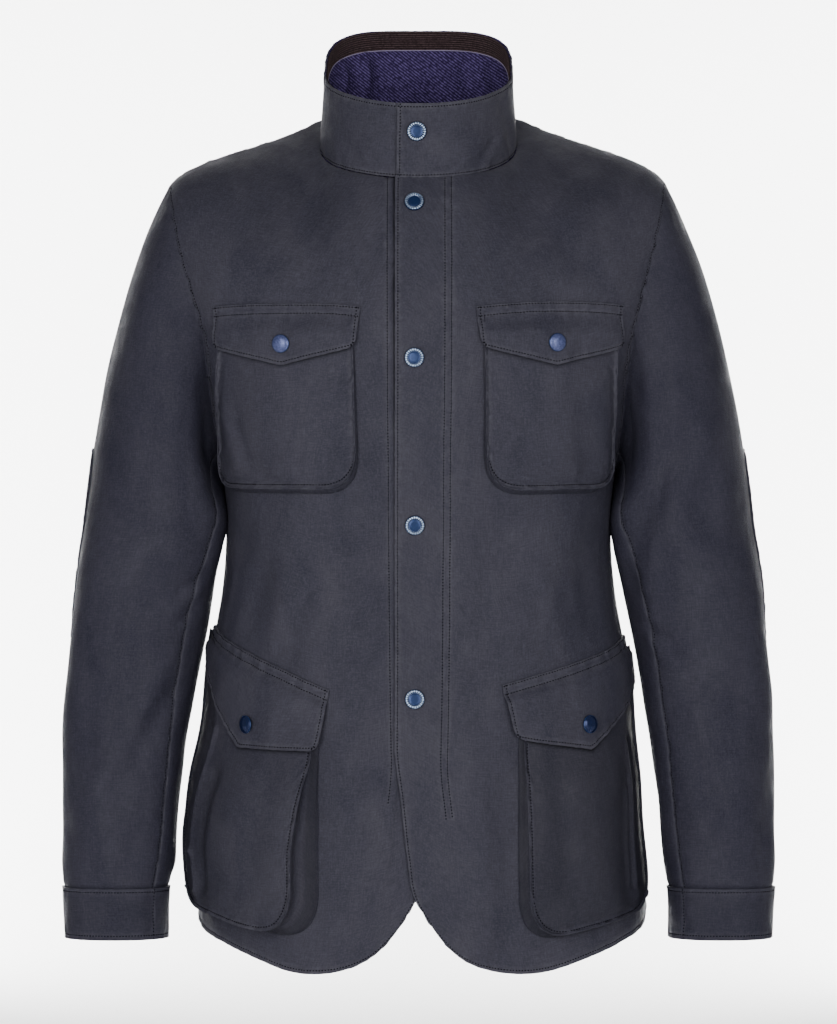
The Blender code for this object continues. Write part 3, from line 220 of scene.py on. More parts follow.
# %% [markdown]
# ## Folds
#
# Waxed cotton is stiff. It doesn't ripple like silk: it makes a few long soft ridges where it is pulled,
# and short sharp dents where it is squeezed, as under the arm and at the waist. Each fold here is a line with
# a width and a height, and a trough has a height below nothing. The first rows of each table are the large
# folds that the solids have too. A slow wave over the whole cloth keeps it from looking pressed.

# %% Folds of the body
#   by face: x1, z1, x2, z2, width and height of each fold
BODY_FOLDS = {
    -1: (
        (0.128, -0.342, 0.08, -0.44, 0.022, 0.003),
        (-0.122, -0.35, -0.088, -0.446, 0.024, 0.0036),
        (0.07, -0.085, 0.125, -0.118, 0.024, 0.0022),
        (-0.07, -0.085, -0.125, -0.118, 0.024, 0.0022),
        # the smaller ones
        (0.013, -0.249, -0.004, -0.298, 0.0055, -0.0014),
        (0.019, -0.252, 0.004, -0.3, 0.006, 0.0008),
        (0.003, -0.034, 0.02, -0.04, 0.004, -0.0009),
        (-0.015, -0.036, -0.002, -0.033, 0.0035, -0.0007),
        (0.03, -0.062, 0.012, -0.072, 0.005, -0.0007),
        (-0.135, -0.372, -0.15, -0.424, 0.0085, -0.0022),
        (-0.118, -0.382, -0.13, -0.44, 0.008, 0.0016),
        (-0.098, -0.392, -0.112, -0.452, 0.009, -0.0016),
        (0.14, -0.362, 0.152, -0.418, 0.0085, -0.002),
        (0.108, -0.378, 0.126, -0.436, 0.009, 0.0014),
        (0.08, -0.33, 0.06, -0.42, 0.011, -0.0012),
        (-0.06, -0.318, -0.04, -0.42, 0.012, -0.0012),
        (-0.075, -0.56, -0.068, -0.69, 0.012, 0.0012),
        (0.052, -0.54, 0.06, -0.69, 0.013, 0.0015),
        (0.075, -0.57, 0.078, -0.69, 0.009, -0.0013),
        (-0.11, -0.06, -0.16, -0.11, 0.016, 0.0012),
        (0.12, -0.05, 0.172, -0.115, 0.015, 0.0013),
        (0.095, -0.04, 0.14, -0.105, 0.01, -0.001),
        (-0.085, -0.045, -0.125, -0.1, 0.01, -0.0009),
    ),
    1: (
        (0.11, -0.372, -0.09, -0.41, 0.026, 0.004),
        (-0.12, -0.47, 0.07, -0.452, 0.022, 0.003),
        (0.132, -0.13, 0.112, -0.3, 0.026, 0.004),
        (-0.126, -0.12, -0.118, -0.318, 0.024, 0.0034),
        (0.06, -0.56, 0.075, -0.67, 0.03, 0.0034),
        (-0.085, -0.54, -0.07, -0.67, 0.03, 0.003),
        # the smaller ones
        (0.085, -0.395, -0.06, -0.428, 0.01, -0.0022),
        (-0.11, -0.38, -0.01, -0.395, 0.01, -0.0018),
        (0.15, -0.335, 0.06, -0.368, 0.011, 0.0018),
        (-0.15, -0.342, -0.07, -0.372, 0.01, 0.0016),
        (0.118, -0.14, 0.098, -0.29, 0.01, -0.0016),
        (-0.112, -0.15, -0.1, -0.3, 0.011, -0.0015),
        (0.03, -0.56, 0.036, -0.675, 0.013, -0.0015),
        (-0.04, -0.575, -0.03, -0.675, 0.012, -0.0013),
        (0.11, -0.57, 0.13, -0.67, 0.012, 0.0014),
        (-0.125, -0.56, -0.135, -0.665, 0.012, 0.0014),
        (0.06, -0.01, 0.12, -0.05, 0.014, -0.001),
        (-0.055, -0.012, -0.115, -0.052, 0.014, -0.001),
    ),
}
WAVES = 16
RIPPLE = 0.0052
BROAD_RIPPLE = 0.0105
rng = np.random.default_rng(11)
wave_length = rng.uniform(0.035, 0.12, WAVES)
wave_angle = rng.uniform(-math.pi, math.pi, WAVES)
wave_phase = rng.uniform(0, 2 * math.pi, WAVES)


def ripple(u, v, amount=RIPPLE):
    """A slow, uneven wave over cloth whose place is (u, v) in metres."""
    total = np.zeros(np.broadcast(u, v).shape)
    for length, angle, phase in zip(wave_length, wave_angle, wave_phase):
        along = u * math.cos(angle) + v * math.sin(angle)
        total = total + length * np.sin(2 * math.pi * along / length + phase)
    return total * amount / math.sqrt(WAVES)


def creases(u, v, rows):
    """The lift of a table of folds."""
    lift = 0.0
    for u1, v1, u2, v2, width, height in rows:
        length = math.hypot(u2 - u1, v2 - v1)
        along = ((u - u1) * (u2 - u1) + (v - v1) * (v2 - v1)) / length
        aside = ((u - u1) * (v2 - v1) - (v - v1) * (u2 - u1)) / length
        past = np.maximum(np.maximum(-along, along - length), 0.0)
        lift = lift + height * np.exp(-(aside**2 + past**2) / width**2)
    return lift


print(sum(map(len, BODY_FOLDS.values())), "folds on the body")

# %% [markdown]
# ## The body's surface
#
# One function turns a place on the body, a turn round from the centre and a height, into a point. The
# folds move the point straight out. Panels, pockets and flaps all use it, so what is sewn on a panel
# follows every fold of it.

# %% The body as one surface
SEAM_FADE = 14.0
SHOULDER_FADE = 0.12


def body_point(turn, z, face, hand=1):
    """A point of the body. With hand -1 it is the wearer's right half, still given as a left one."""
    half = read(BODY, 1, z)
    deep = read(BODY, 2 if face < 0 else 3, z)
    angle = np.radians(turn)
    x = half * np.sign(angle) * np.abs(np.sin(angle)) ** (2 / FULLNESS)
    y = deep * np.clip(np.cos(angle), 0.0, 1.0) ** (2 / FULLNESS)
    edge, depth, reach, power = (read(SHOULDERS[face], column, np.abs(x)) for column in (1, 2, 3, 4))
    share = np.clip((edge - z) / reach, 0.0, 1.0)
    roll = (1 - (1 - share) ** 2) ** power
    outward = unit(np.stack([x / half**2, face * y / deep**2], axis=-1))
    # The folds fade at the side seam and at the shoulder, where front and back must meet.
    faded = smooth(90 - np.abs(turn), 0.0, SEAM_FADE) * smooth(share, 0.0, SHOULDER_FADE)
    folds = ripple(x * hand + 0.3 * face, z, BROAD_RIPPLE) + creases(x * hand, z, BODY_FOLDS[face])
    moved = outward * (folds * faded)[..., None]
    y = depth * (1 - roll) + face * y * roll
    return np.stack([x + moved[..., 0], y + moved[..., 1], z + 0 * x], axis=-1)


def body_lifted(turn, z, face, lift, hand=1):
    """A point that stands off the body's cloth by lift, straight out from it."""
    turn, z, lift = np.broadcast_arrays(np.asarray(turn, float), z, lift)
    here = body_point(turn, z, face, hand)
    aside = body_point(turn + 0.6, z, face, hand) - body_point(turn - 0.6, z, face, hand)
    top = np.minimum(z + 0.001, read(SHOULDERS[face], 1, np.abs(here[..., 0])) - 1e-5)
    top = np.maximum(top, z - 0.0005)
    up = body_point(turn, top, face, hand) - body_point(turn, z - 0.001, face, hand)
    return here + unit(np.cross(aside, up) * -face) * lift[..., None]


def turn_of(x, z):
    share = np.clip(np.abs(x) / read(BODY, 1, z), 0.0, 1.0)
    return np.sign(x) * np.degrees(np.arcsin(share ** (FULLNESS / 2)))


TURNS = np.linspace(0.0, 90.0, 91)
LEVELS = np.linspace(-0.76, -0.03, 147)
ring_runs = running(body_point(TURNS[None], LEVELS[:, None] + 0 * TURNS[None], -1), 1)


def turn_at(across, z):
    """The turn on the front at a distance measured round the cloth from the centre line."""
    across, z = np.broadcast_arrays(np.asarray(across, float), z)
    level = (np.clip(z, LEVELS[0], LEVELS[-1]) - LEVELS[0]) / (LEVELS[1] - LEVELS[0])
    low = np.clip(level.astype(int), 0, len(LEVELS) - 2)
    part = (level - low)[..., None]
    run = ring_runs[low] * (1 - part) + ring_runs[low + 1] * part
    index = np.clip((run < np.abs(across)[..., None]).sum(axis=-1), 1, len(TURNS) - 1)
    before, after = (np.take_along_axis(run, i[..., None], axis=-1)[..., 0] for i in (index - 1, index))
    turn = TURNS[index - 1] + (np.abs(across) - before) / (after - before) * (TURNS[1] - TURNS[0])
    return np.sign(across) * turn


def settled(grid):
    """The wearer's right shoulder sits a little lower and further out than the left one."""
    x, z = grid[..., 0], grid[..., 2]
    drop = RIGHT_DROP * smooth(-x, 0.05, 0.12) * smooth(z, -0.3, -0.02)
    out = RIGHT_OUT * smooth(-x, 0.12, 0.21) * smooth(z, -0.24, -0.08)
    on_body = smooth(-x, 0.1, 0.18) * (1 - smooth(-x, 0.2185, 0.2215))
    out = out - RIGHT_FOOT * on_body * smooth(-z, 0.6, 0.7)
    return grid - np.stack([out, 0 * drop, drop], axis=-1)


print("waist, from centre to side seam:", round(float(ring_runs[80, -1]), 3))

# %% [markdown]
# ## Cloth from a grid
#
# `bmesh.ops.create_grid` makes a flat sheet of squares. Its columns and rows are counted, and each vertex
# goes to the point of the surface that has the same column and row. The sheet's flat place is kept as a UV
# map in metres, so a weave drawn there has the right size and follows the cloth. A Solidify modifier gives
# the cloth its thickness, inwards, and a small Bevel turns its cut edges over. A vertex attribute of wear
# and shade is above nothing where wax is rubbed off a sewn edge, and below nothing where shade is painted
# into the colour: in the gussets, under the flaps' edges, beside the lapped front edge and on the bags' sides.
# It is also raised over the collar and the lapped strip, which come out paler, and lowered on the cuffs.

# %% Sheets, pieces and their finishes
made = {}
TURNED_EDGE = 0.0004


def flat_place(grid):
    """UV in metres: how far along its row and up its middle column each point is."""
    wide = running(grid, 1)
    return np.stack([wide - wide[:, -1:] / 2, running(grid)], axis=-1)


def new_cloth():
    bm = bmesh.new()
    return bm, bm.loops.layers.uv.new("UVMap"), bm.verts.layers.float.new("wear_and_shade")


def lay_grid(bm, uv_layer, wear_and_shade_layer, grid, wear_and_shade):
    """Adds a sheet of squares to a mesh, with its columns and rows laid on a grid of points."""
    rows, columns = grid.shape[:2]
    flat = flat_place(grid)
    sheet = bmesh.ops.create_grid(bm, x_segments=columns - 1, y_segments=rows - 1, size=0.5)["verts"]
    place = {}
    for vert in sheet:
        place[vert] = (round((vert.co.y + 0.5) * (rows - 1)), round((vert.co.x + 0.5) * (columns - 1)))
    for face in {face for vert in sheet for face in vert.link_faces}:
        for loop in face.loops:
            loop[uv_layer].uv = flat[place[loop.vert]]
    for vert, (row, column) in place.items():
        vert.co = grid[row, column]
        vert[wear_and_shade_layer] = wear_and_shade[row, column]


def add_piece(name, bm, finishes, nodes):
    title = name + "_cloth" if name in nodes else name
    mesh = bpy.data.meshes.new(title)
    bm.to_mesh(mesh)
    bm.free()
    mesh.shade_smooth()
    for finish in finishes:
        mesh.materials.append(finish)
    piece = bpy.data.objects.new(title, mesh)
    bpy.context.scene.collection.objects.link(piece)
    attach(piece, "root")
    if nodes:
        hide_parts(*nodes)
    made[name] = piece
    return piece


def thicken(piece, wall):
    wall_maker = piece.modifiers.new("Wall", "SOLIDIFY")
    wall_maker.thickness = wall
    wall_maker.offset = -1.0
    wall_maker.material_offset = 1
    turned = piece.modifiers.new("Turned edge", "BEVEL")
    turned.width = TURNED_EDGE
    turned.segments = 2
    turned.limit_method = "ANGLE"
    turned.angle_limit = math.radians(50)
    turned.harden_normals = False


print("edges turned over by", TURNED_EDGE)


# %% [markdown]
# ## Lines of sewing
#
# A sewn line pulls the cloth into a shallow groove, and the thread's pull puckers it across the line. So the
# grid needs columns at each line and just beside it. `marks` lists such distances from an edge, and `marked`
# moves a grid's columns and rows to them. One table per panel then says where its lines of stitches are.
# The grooves come from it, and so do the stitches, whose lines `sew` keeps until all the cloth is made.

# %% Grooves and stitches
BESIDE = 0.0009          # half the width of a groove
GROOVE = 0.00065
PUCKER = 0.00027
PUCKER_WIDE = 0.0065
SEWN_WEAR = (0.45, 0.0018)
EDGE_WEAR = (0.4, 0.001)
SEAM_WEAR = (0.8, 0.0014)
SEAM_PULL = (0.0011, 0.0018)
NEAR_EDGE = 0.004
STITCH = 0.0027          # from one stitch to the next
THREAD = (0.00088, 0.00058, 0.00036)
PUCKERS = ((0.0083, 0.4, 0.8), (0.0117, 1.9, 1.0), (0.0171, 4.1, 1.1), (0.0262, 2.7, 0.9))
AT_EDGE = np.array([0.0])


def marks(*lines, step=0.004):
    """Distances from an edge: three at each line, and even ones between."""
    fixed = sorted({0.0, *(line + side * BESIDE for line in lines for side in (-1, 0, 1))})
    found = [0.0]
    for mark in fixed[1:]:
        extra = max(math.ceil((mark - found[-1]) / step), 1)
        found += list(np.linspace(found[-1], mark, extra + 1)[1:])
    return np.array(found)


def respaced(values, points, near, far, count):
    """Columns at set distances from the left edge, then even ones, then as far from the right edge."""
    result = []
    for row, run in zip(values, running(points, 1)):
        inner = np.linspace(near[-1], run[-1] - far[-1], count + 2)[1:-1]
        result.append(between(np.concatenate([near, inner, run[-1] - far[::-1]]), run, row))
    return np.array(result)


def marked(plane, surface, near, far, columns, low, high, rows):
    """A sheet's places on a surface, with its columns and rows moved to the marks of its sewing."""
    for first, last, count in ((near, far, columns), (low, high, rows)):
        plane = respaced(plane, surface(plane), first, last, count).swapaxes(0, 1)
    return plane


def from_edges(grid):
    """The distance of each point from each edge of its sheet, along the sheet."""
    across, up = running(grid, 1), running(grid)
    return {"left": across, "right": across[:, -1:] - across, "bottom": up, "top": up[-1:] - up}


def wrinkle(run):
    return sum(weight * np.sin(2 * math.pi * run / length + phase) for length, phase, weight in PUCKERS)


def sewn_in(grid, rows, seams=(), shift=0.0):
    """How far sewing pulls a sheet in, and how near each point is to a worn edge.

    A row is an edge, a distance from it, and where it starts and ends: heights along a standing edge,
    distances across along a lying one.
    """
    away = from_edges(grid)
    pull, wear_and_shade = np.zeros((2, *grid.shape[:2]))
    for edge, distance, start, end in rows:
        standing = edge in ("left", "right")
        place = grid[..., 2] if standing else grid[..., 0]
        here = smooth(place, start - 0.004, start + 0.004) * (1 - smooth(place, end - 0.004, end + 0.004))
        off = away[edge] - distance
        along = away["bottom" if standing else "left"] + shift
        pull += (GROOVE * bell(off, BESIDE) + PUCKER * wrinkle(along) * bell(off, PUCKER_WIDE)) * here
        wear_and_shade = np.maximum(wear_and_shade, SEWN_WEAR[0] * bell(off, SEWN_WEAR[1]) * here)
        if distance < NEAR_EDGE:
            wear_and_shade = np.maximum(wear_and_shade, EDGE_WEAR[0] * np.exp(-away[edge] / EDGE_WEAR[1]) * here)
    for edge in seams:
        pull += SEAM_PULL[0] * np.exp(-away[edge] / SEAM_PULL[1])
        wear_and_shade = np.maximum(wear_and_shade, SEAM_WEAR[0] * np.exp(-away[edge] / SEAM_WEAR[1]))
    # Two rows meet at a corner, and would pull it twice.
    for corner in (grid[0, 0], grid[0, -1], grid[-1, 0], grid[-1, -1]):
        pull *= smooth(np.linalg.norm(grid - corner, axis=-1), 0.002, 0.012)
    return pull, wear_and_shade


stitch_paths = {}


def keep_path(group, path, ways, hand):
    """Keeps a line of stitches, and the way out of the cloth along it, to be sewn at the end."""
    mirror = (hand, 1, 1)
    stitch_paths.setdefault(group, []).append((settled(path * mirror), ways * mirror))


def sew(group, grid, rows, hand=1):
    away = from_edges(grid)
    out = unit(np.cross(np.gradient(grid, axis=1), np.gradient(grid, axis=0)))
    for edge, distance, start, end in rows:
        standing = edge in ("left", "right")
        path, ways = [], []
        for run, line, way in zip(*(a if standing else a.swapaxes(0, 1) for a in (away[edge], grid, out))):
            order = slice(None) if run[0] < run[-1] else slice(None, None, -1)
            path.append(between(distance, run[order], line[order]))
            ways.append(between(distance, run[order], way[order]))
        path, ways = np.array(path), np.array(ways)
        place = path[:, 2 if standing else 0]
        keep = (place >= start) & (place <= end)
        if keep.sum() > 1:
            keep_path(group, path[keep], ways[keep], hand)


print("a stitch every", STITCH, "and a groove", 2 * BESIDE, "wide")


# %% [markdown]
# ## Finishes
#
# Waxed cotton is dense cotton soaked in wax. It is nearly black navy, a little brown where the wax has
# aged, and it has a faint greasy shine that breaks up wherever the cloth was creased. A finish is built here
# from noise, with the weave drawn in the UV map's metres, a paler colour where the vertex attribute says the
# cloth is rubbed, and a darker one where it holds painted shade. The collar's corduroy has a soft nap, which
# the shader's sheen gives, with a painted highlight on its wale tips, and the lining is a twill. The class
# keeps a material together with its shader, so that a node and all its links take one line.

# %% Materials
class Finish:
    """A material with one main shader, and short ways to add nodes in front of it."""

    def __init__(self, name, colour, roughness, metallic=0.0, **inputs):
        self.material = bpy.data.materials.new(name)
        self.material.use_nodes = True
        self.material.diffuse_color = (*colour, 1.0)
        self.nodes = self.material.node_tree.nodes
        self.shader = self.nodes["Principled BSDF"]
        self.set(self.shader, {"Base Color": colour, "Roughness": roughness, "Metallic": metallic, **inputs})

    def set(self, node, inputs):
        """Each input is a number, a vector or a colour, or else the output of another node."""
        for name, value in inputs.items():
            socket = node.inputs[name]
            if isinstance(value, bpy.types.NodeSocket):
                self.material.node_tree.links.new(value, socket)
            else:
                socket.default_value = (*value, 1.0) if socket.type == "RGBA" else value

    def add(self, kind, inputs=(), **settings):
        node = self.nodes.new("ShaderNode" + kind)
        for name, value in settings.items():
            setattr(node, name, value)
        self.set(node, dict(inputs))
        return node.outputs

    def place(self):
        return self.add("TexCoord")["Object"]

    def wear_and_shade(self):
        return self.add("Attribute", attribute_name="wear_and_shade")["Fac"]

    def mapped(self, place, **inputs):
        return self.add("Mapping", {"Vector": place, **inputs})["Vector"]

    def noise(self, place, scale, detail=3.0, distortion=0.0, kind="FBM"):
        inputs = {"Vector": place, "Scale": scale, "Detail": detail, "Distortion": distortion}
        return self.add("TexNoise", inputs, noise_type=kind)["Fac"]

    def wave(self, place, pitch, way, **inputs):
        scale = {"Vector": place, "Scale": WAVE_SCALE / pitch}
        return self.add("TexWave", {**scale, **inputs}, bands_direction=way)["Fac"]

    def remap(self, value, low, high, to_low, to_high):
        inputs = {"Value": value, "From Min": low, "From Max": high, "To Min": to_low, "To Max": to_high}
        return self.add("MapRange", inputs)["Result"]

    def together(self, operation, first, second):
        return self.add("Math", {0: first, 1: second}, operation=operation)["Value"]

    def blend(self, share, first, second):
        return self.add("Mix", {"Factor": share, 6: first, 7: second}, data_type="RGBA")[2]

    def weave(self, pitch):
        """Fine ribs drawn in the UV map's metres, one wave per direction, added up."""
        place = self.add("UVMap", uv_map="UVMap")["UV"]
        ways = (self.mapped(place, Rotation=(0.0, 0.0, turn)) for turn in (0.0, math.pi / 2))
        warp, weft = (self.wave(way, pitch, "X") for way in ways)
        return self.together("ADD", warp, weft)

    def slubs(self):
        """Threads that are thicker here and there: noise drawn out along both ways of the weave."""
        place = self.add("UVMap", uv_map="UVMap")["UV"]
        scales = ((90.0, 1000.0, 1.0), (1000.0, 90.0, 1.0))
        warp, weft = (self.noise(self.mapped(place, Scale=scale), 1.0, 2.0) for scale in scales)
        return self.remap(self.together("ADD", warp, weft), 0.8, 1.2, 0.0, 1.0)

    def bumped(self, *steps):
        """Bumps one on another: each is a height, how strong, and how deep in metres."""
        before = {}
        for height, strength, depth in steps:
            bump = self.add("Bump", {"Height": height, "Strength": strength, "Distance": depth, **before})
            before = {"Normal": bump["Normal"]}
        self.set(self.shader, before)


WAVE_SCALE = 0.314       # a wave texture's scale for one band a metre
HANG = (1.0, 1.0, 0.45)  # draws clouds and creases out along the cloth's fall


def times(colour, factor):
    return tuple(factor * channel for channel in colour)


def waxed(name, dark, light, worn):
    """Above nothing, the vertex attribute makes the cloth paler, as rubbed cloth. Below nothing it darkens the
    colour: painted shade.
    """
    wax = Finish(name, dark, 0.65, **{"Specular IOR Level": 0.13})
    place = wax.place()
    hanging = wax.mapped(place, Scale=HANG)
    clouds = wax.remap(wax.noise(hanging, 22.0, 5.0, 0.8), 0.36, 0.64, 0.0, 1.0)
    specks = wax.remap(wax.noise(place, 640.0), 0.36, 0.7, 0.0, 0.45)
    yarns = wax.slubs()
    colour = wax.blend(clouds, dark, light)
    colour = wax.blend(specks, colour, times(light, 1.6))
    colour = wax.blend(wax.remap(yarns, 0.0, 1.0, 0.4, 0.0), colour, times(dark, 0.5))
    cracks = wax.noise(hanging, 26.0, 4.0, 0.35, "RIDGED_MULTIFRACTAL")
    colour = wax.blend(wax.remap(cracks, 0.95, 1.45, 0.0, 0.38), colour, worn)
    near = wax.wear_and_shade()
    rubbed = wax.remap(wax.noise(place, 210.0), 0.35, 0.65, 0.25, 1.0)
    colour = wax.blend(wax.together("MULTIPLY", near, rubbed), colour, worn)
    # painted shade: where the attribute is below nothing, the colour goes towards a darker copy of dark
    colour = wax.blend(wax.remap(near, -1.0, 0.0, 1.0, 0.0), colour, times(dark, 0.22))
    greasy = wax.remap(wax.noise(place, 38.0, 4.0), 0.3, 0.7, 0.52, 0.78)
    wax.set(wax.shader, {"Base Color": colour, "Roughness": greasy})
    crumple = wax.noise(hanging, 75.0, 4.0, 0.6)
    threads = wax.weave(0.00045)
    wax.bumped((cracks, 0.85, 0.0024), (crumple, 0.45, 0.0014), (yarns, 0.3, 0.00016), (threads, 0.3, 0.00012))
    return wax.material


def twill(name, dark, light):
    """Slanted ribs, broken here and there where it is worn."""
    fabric = Finish(name, dark, 0.85, **{"Specular IOR Level": 0.1})
    place = fabric.place()
    slanted = fabric.mapped(place, Rotation=(0.0, math.radians(-38.0), 0.0))
    ribs = fabric.wave(slanted, 0.0023, "Z", **{"Distortion": 0.8, "Detail Scale": 2.0})
    broken = fabric.remap(fabric.noise(place, 430.0), 0.35, 0.65, 0.15, 1.0)
    shown = fabric.together("MULTIPLY", ribs, broken)
    fabric.set(fabric.shader, {"Base Color": fabric.blend(shown, dark, light)})
    fabric.bumped((ribs, 0.8, 0.0006))
    return fabric.material


def nap(name, colour, tip):
    """Corduroy: the vertex attribute is the height of a wale, and its tips get the tip colour as a painted highlight.
    """
    pile = Finish(name, colour, 0.95, **{"Specular IOR Level": 0.05, "Sheen Weight": 0.03, "Sheen Roughness": 0.6})
    tufts = pile.noise(pile.place(), 600.0)
    lit = pile.together("MULTIPLY", pile.remap(tufts, 0.35, 0.65, 0.35, 1.0), pile.wear_and_shade())
    pile.set(pile.shader, {"Base Color": pile.blend(lit, colour, tip)})
    pile.bumped((tufts, 0.6, 0.0004))
    return pile.material


def speckled(name, dark, light):
    paint = Finish(name, dark, 0.34, 0.45)
    specks = paint.remap(paint.noise(paint.place(), 700.0, 4.0), 0.35, 0.65, 0.0, 1.0)
    paint.set(paint.shader, {"Base Color": paint.blend(specks, dark, light)})
    return paint.material


cloth = waxed("Waxed cotton", (0.0255, 0.0253, 0.0385), (0.0395, 0.038, 0.052), (0.074, 0.072, 0.088))
# the sleeves, cuffs and elbow patches get a darker copy of the same cloth: painted shade
shaded_arm_cloth = waxed("Waxed cotton sleeve", (0.019, 0.0186, 0.031), (0.03, 0.029, 0.0425), (0.058, 0.057, 0.072))
lining = twill("Lining twill", (0.011, 0.006, 0.029), (0.112, 0.082, 0.225))
# the corduroy's second colour is a painted highlight on the wale tips
corduroy = nap("Corduroy", (0.005, 0.0028, 0.0036), (0.074, 0.046, 0.05))
piping = Finish("Piping cord", (0.2, 0.17, 0.27), 0.8).material
# the thread is painted near black: painted shade of the needle holes it lies in
hole_shadow_thread = Finish("Thread", (0.001, 0.001, 0.002), 0.9, **{"Specular IOR Level": 0.0}).material
silver = Finish("Snap ring", (0.34, 0.42, 0.55), 0.28, 1.0).material
enamel = Finish("Snap enamel", (0.003, 0.018, 0.075), 0.3, 0.5).material
gloss = Finish("Snap gloss", (0.008, 0.016, 0.06), 0.16, 0.55).material
dome_paint = speckled("Snap dome", (0.035, 0.05, 0.14), (0.09, 0.105, 0.23))
print("finishes:", len(bpy.data.materials))

# %% [markdown]
# ## The cutter's layout
#
# A pattern cutter draws a panel as four lines. The inside of the sheet is filled in from them: each point
# is the blend of the two lines beside it and the two above and below, less the blend of the corners. Drawn
# in turns and heights rather than in space, the sheet stays on the body.

# %% Filling a panel from its four lines
PANEL_ROWS = (84, 66, 40)
MIDDLE_BREAKS = (-0.3, -0.12)
QUARTER = math.pi / 2
HEM_ROW = 0.0034
ARM_ROWS = (0.0016, 0.0086)
TOP_ROOM = 0.0015
PANEL_FINE = 178


def to_drop(x, z, face):
    """How far down over the shoulder's roll a height is, even along the cloth: 1 where the roll ends."""
    rows = SHOULDERS[face]
    share = (read(rows, 1, np.abs(x)) - z) / read(rows, 3, np.abs(x))
    rolled = np.arccos(np.clip(1 - share, -1.0, 1.0)) / QUARTER
    return np.where(share < 1, rolled, 1 + (share - 1) / QUARTER)


def from_drop(x, drop, face):
    rows = SHOULDERS[face]
    rolled = 1 - np.cos(np.clip(drop, 0, 1) * QUARTER)
    share = np.where(drop < 1, rolled, 1 + (drop - 1) * QUARTER)
    return read(rows, 1, np.abs(x)) - share * read(rows, 3, np.abs(x))


def filled(left, right, bottom, top):
    """A sheet filled in from its four lines."""
    s = np.linspace(0, 1, len(left))[:, None, None]
    t = np.linspace(0, 1, len(bottom))[None, :, None]
    sides = (1 - t) * left[:, None] + t * right[:, None]
    ends = (1 - s) * bottom[None] + s * top[None]
    corners = (1 - s) * ((1 - t) * left[0] + t * right[0]) + s * ((1 - t) * left[-1] + t * right[-1])
    return sides + ends - corners


def patch(face, *edges):
    """A sheet of turns and heights on the body, from its four edges given as points (x, z)."""
    lines = [line.T for line in edges]
    sheet = filled(*(np.column_stack([turn_of(x, z), to_drop(x, z, face)]) for x, z in lines))
    turn, drop = np.moveaxis(sheet, -1, 0)
    z = from_drop(0.1 + 0 * drop, drop, face)
    for _ in range(12):
        x = read(BODY, 1, z) * np.abs(np.sin(np.radians(turn))) ** (2 / FULLNESS)
        z = from_drop(x, drop, face)
    return np.stack([turn, z], axis=-1)


def neck_line(degrees, face):
    """Where the neck seam runs on the body, as points (x, z), round from the centre front."""
    angle = np.radians(degrees)
    x = NECK_WIDE * np.sin(angle)
    if face < 0:
        z = NECK_FRONT + NECK_RISE * (1 - np.cos(angle)) / 2 - NECK_DIP * np.sin(angle) ** 2
        z = z + NECK_CLIMB * smooth(degrees, 90.0, NECK_SHOULDER)
        return np.column_stack([x, np.minimum(z, read(SHOULDERS[-1], 1, np.abs(x)))])
    edge, depth, reach, power = (read(SHOULDERS[1], column, np.abs(x)) for column in (1, 2, 3, 4))
    oval = OVAL_CENTRE - OVAL_DEPTH * np.cos(angle)
    lies = np.clip((oval - depth) / (read(BODY, 3, 0.03) - depth), 0.0, 1.0)
    return np.column_stack([x, edge - (1 - np.sqrt(1 - lies ** (1 / power))) * reach])


corner_x = NECK_WIDE * math.sin(math.radians(NECK_SHOULDER))
neck_corner = (corner_x, float(read(SHOULDERS[-1], 1, corner_x)))


def outer_edge():
    """Side seam, armhole and shoulder seam as one line of points (x, z), from the hem up."""
    sides, arms, shoulders = PANEL_ROWS
    z = np.linspace(SIDE_HEM, UNDERARM, sides + 1)
    height = np.linspace(UNDERARM, TIP, 200)
    arm = spread(np.column_stack([read(ARMHOLE, 1, height), height]), arms + 1)
    x = np.linspace(TIP_OUT, corner_x, shoulders + 1)
    shoulder = np.column_stack([x, read(SHOULDERS[-1], 1, x)])
    return np.concatenate([np.column_stack([read(BODY, 1, z), z]), arm[1:], shoulder[1:]])


def middle_edge(low, top_z, x):
    """The edge at the centre: the given lower part, then straight up to the neck."""
    low_break, high_break = MIDDLE_BREAKS
    mid = np.linspace(low_break, high_break, PANEL_ROWS[1] + 1)[1:]
    high = np.linspace(high_break, top_z, PANEL_ROWS[2] + 1)[1:]
    straight = np.concatenate([mid, high])
    return np.concatenate([low, np.column_stack([np.full(len(straight), x), straight])])


def cut_panel(drawn, face, near, columns, ease=None):
    """A panel's places on the body with the sewing's columns and rows, and the shoulder's tip in one of them."""

    def surface(plane):
        return body_point(plane[..., 0], plane[..., 1], face)

    plane = marked(drawn, surface, near, marks(*ARM_ROWS), columns, marks(HEM_ROW), marks(TOP_ROOM), PANEL_FINE)
    if ease:
        plane = ease(plane)
    # Front and back meet at the tip, so the nearest point of each outer edge goes there.
    tip = drawn[sum(PANEL_ROWS[:2]), -1]
    away = surface(plane[:, -1]) - surface(tip[None])
    plane[int(np.argmin(np.linalg.norm(away, axis=-1))), -1] = tip
    return plane


print("outer edge has", len(outer_edge()), "points")

# %% [markdown]
# ## The fronts
#
# Each front is one panel from the shoulder to the hem. Its front edge passes the centre line, runs down
# straight, then rounds away to the hem. The left one is buttoned over the right one, so it lies 3 mm
# further out near the edge. Lines of stitches hold the facing of the front edge, two on the left and one on
# the right. One more holds the edge itself, and two run round the armhole.

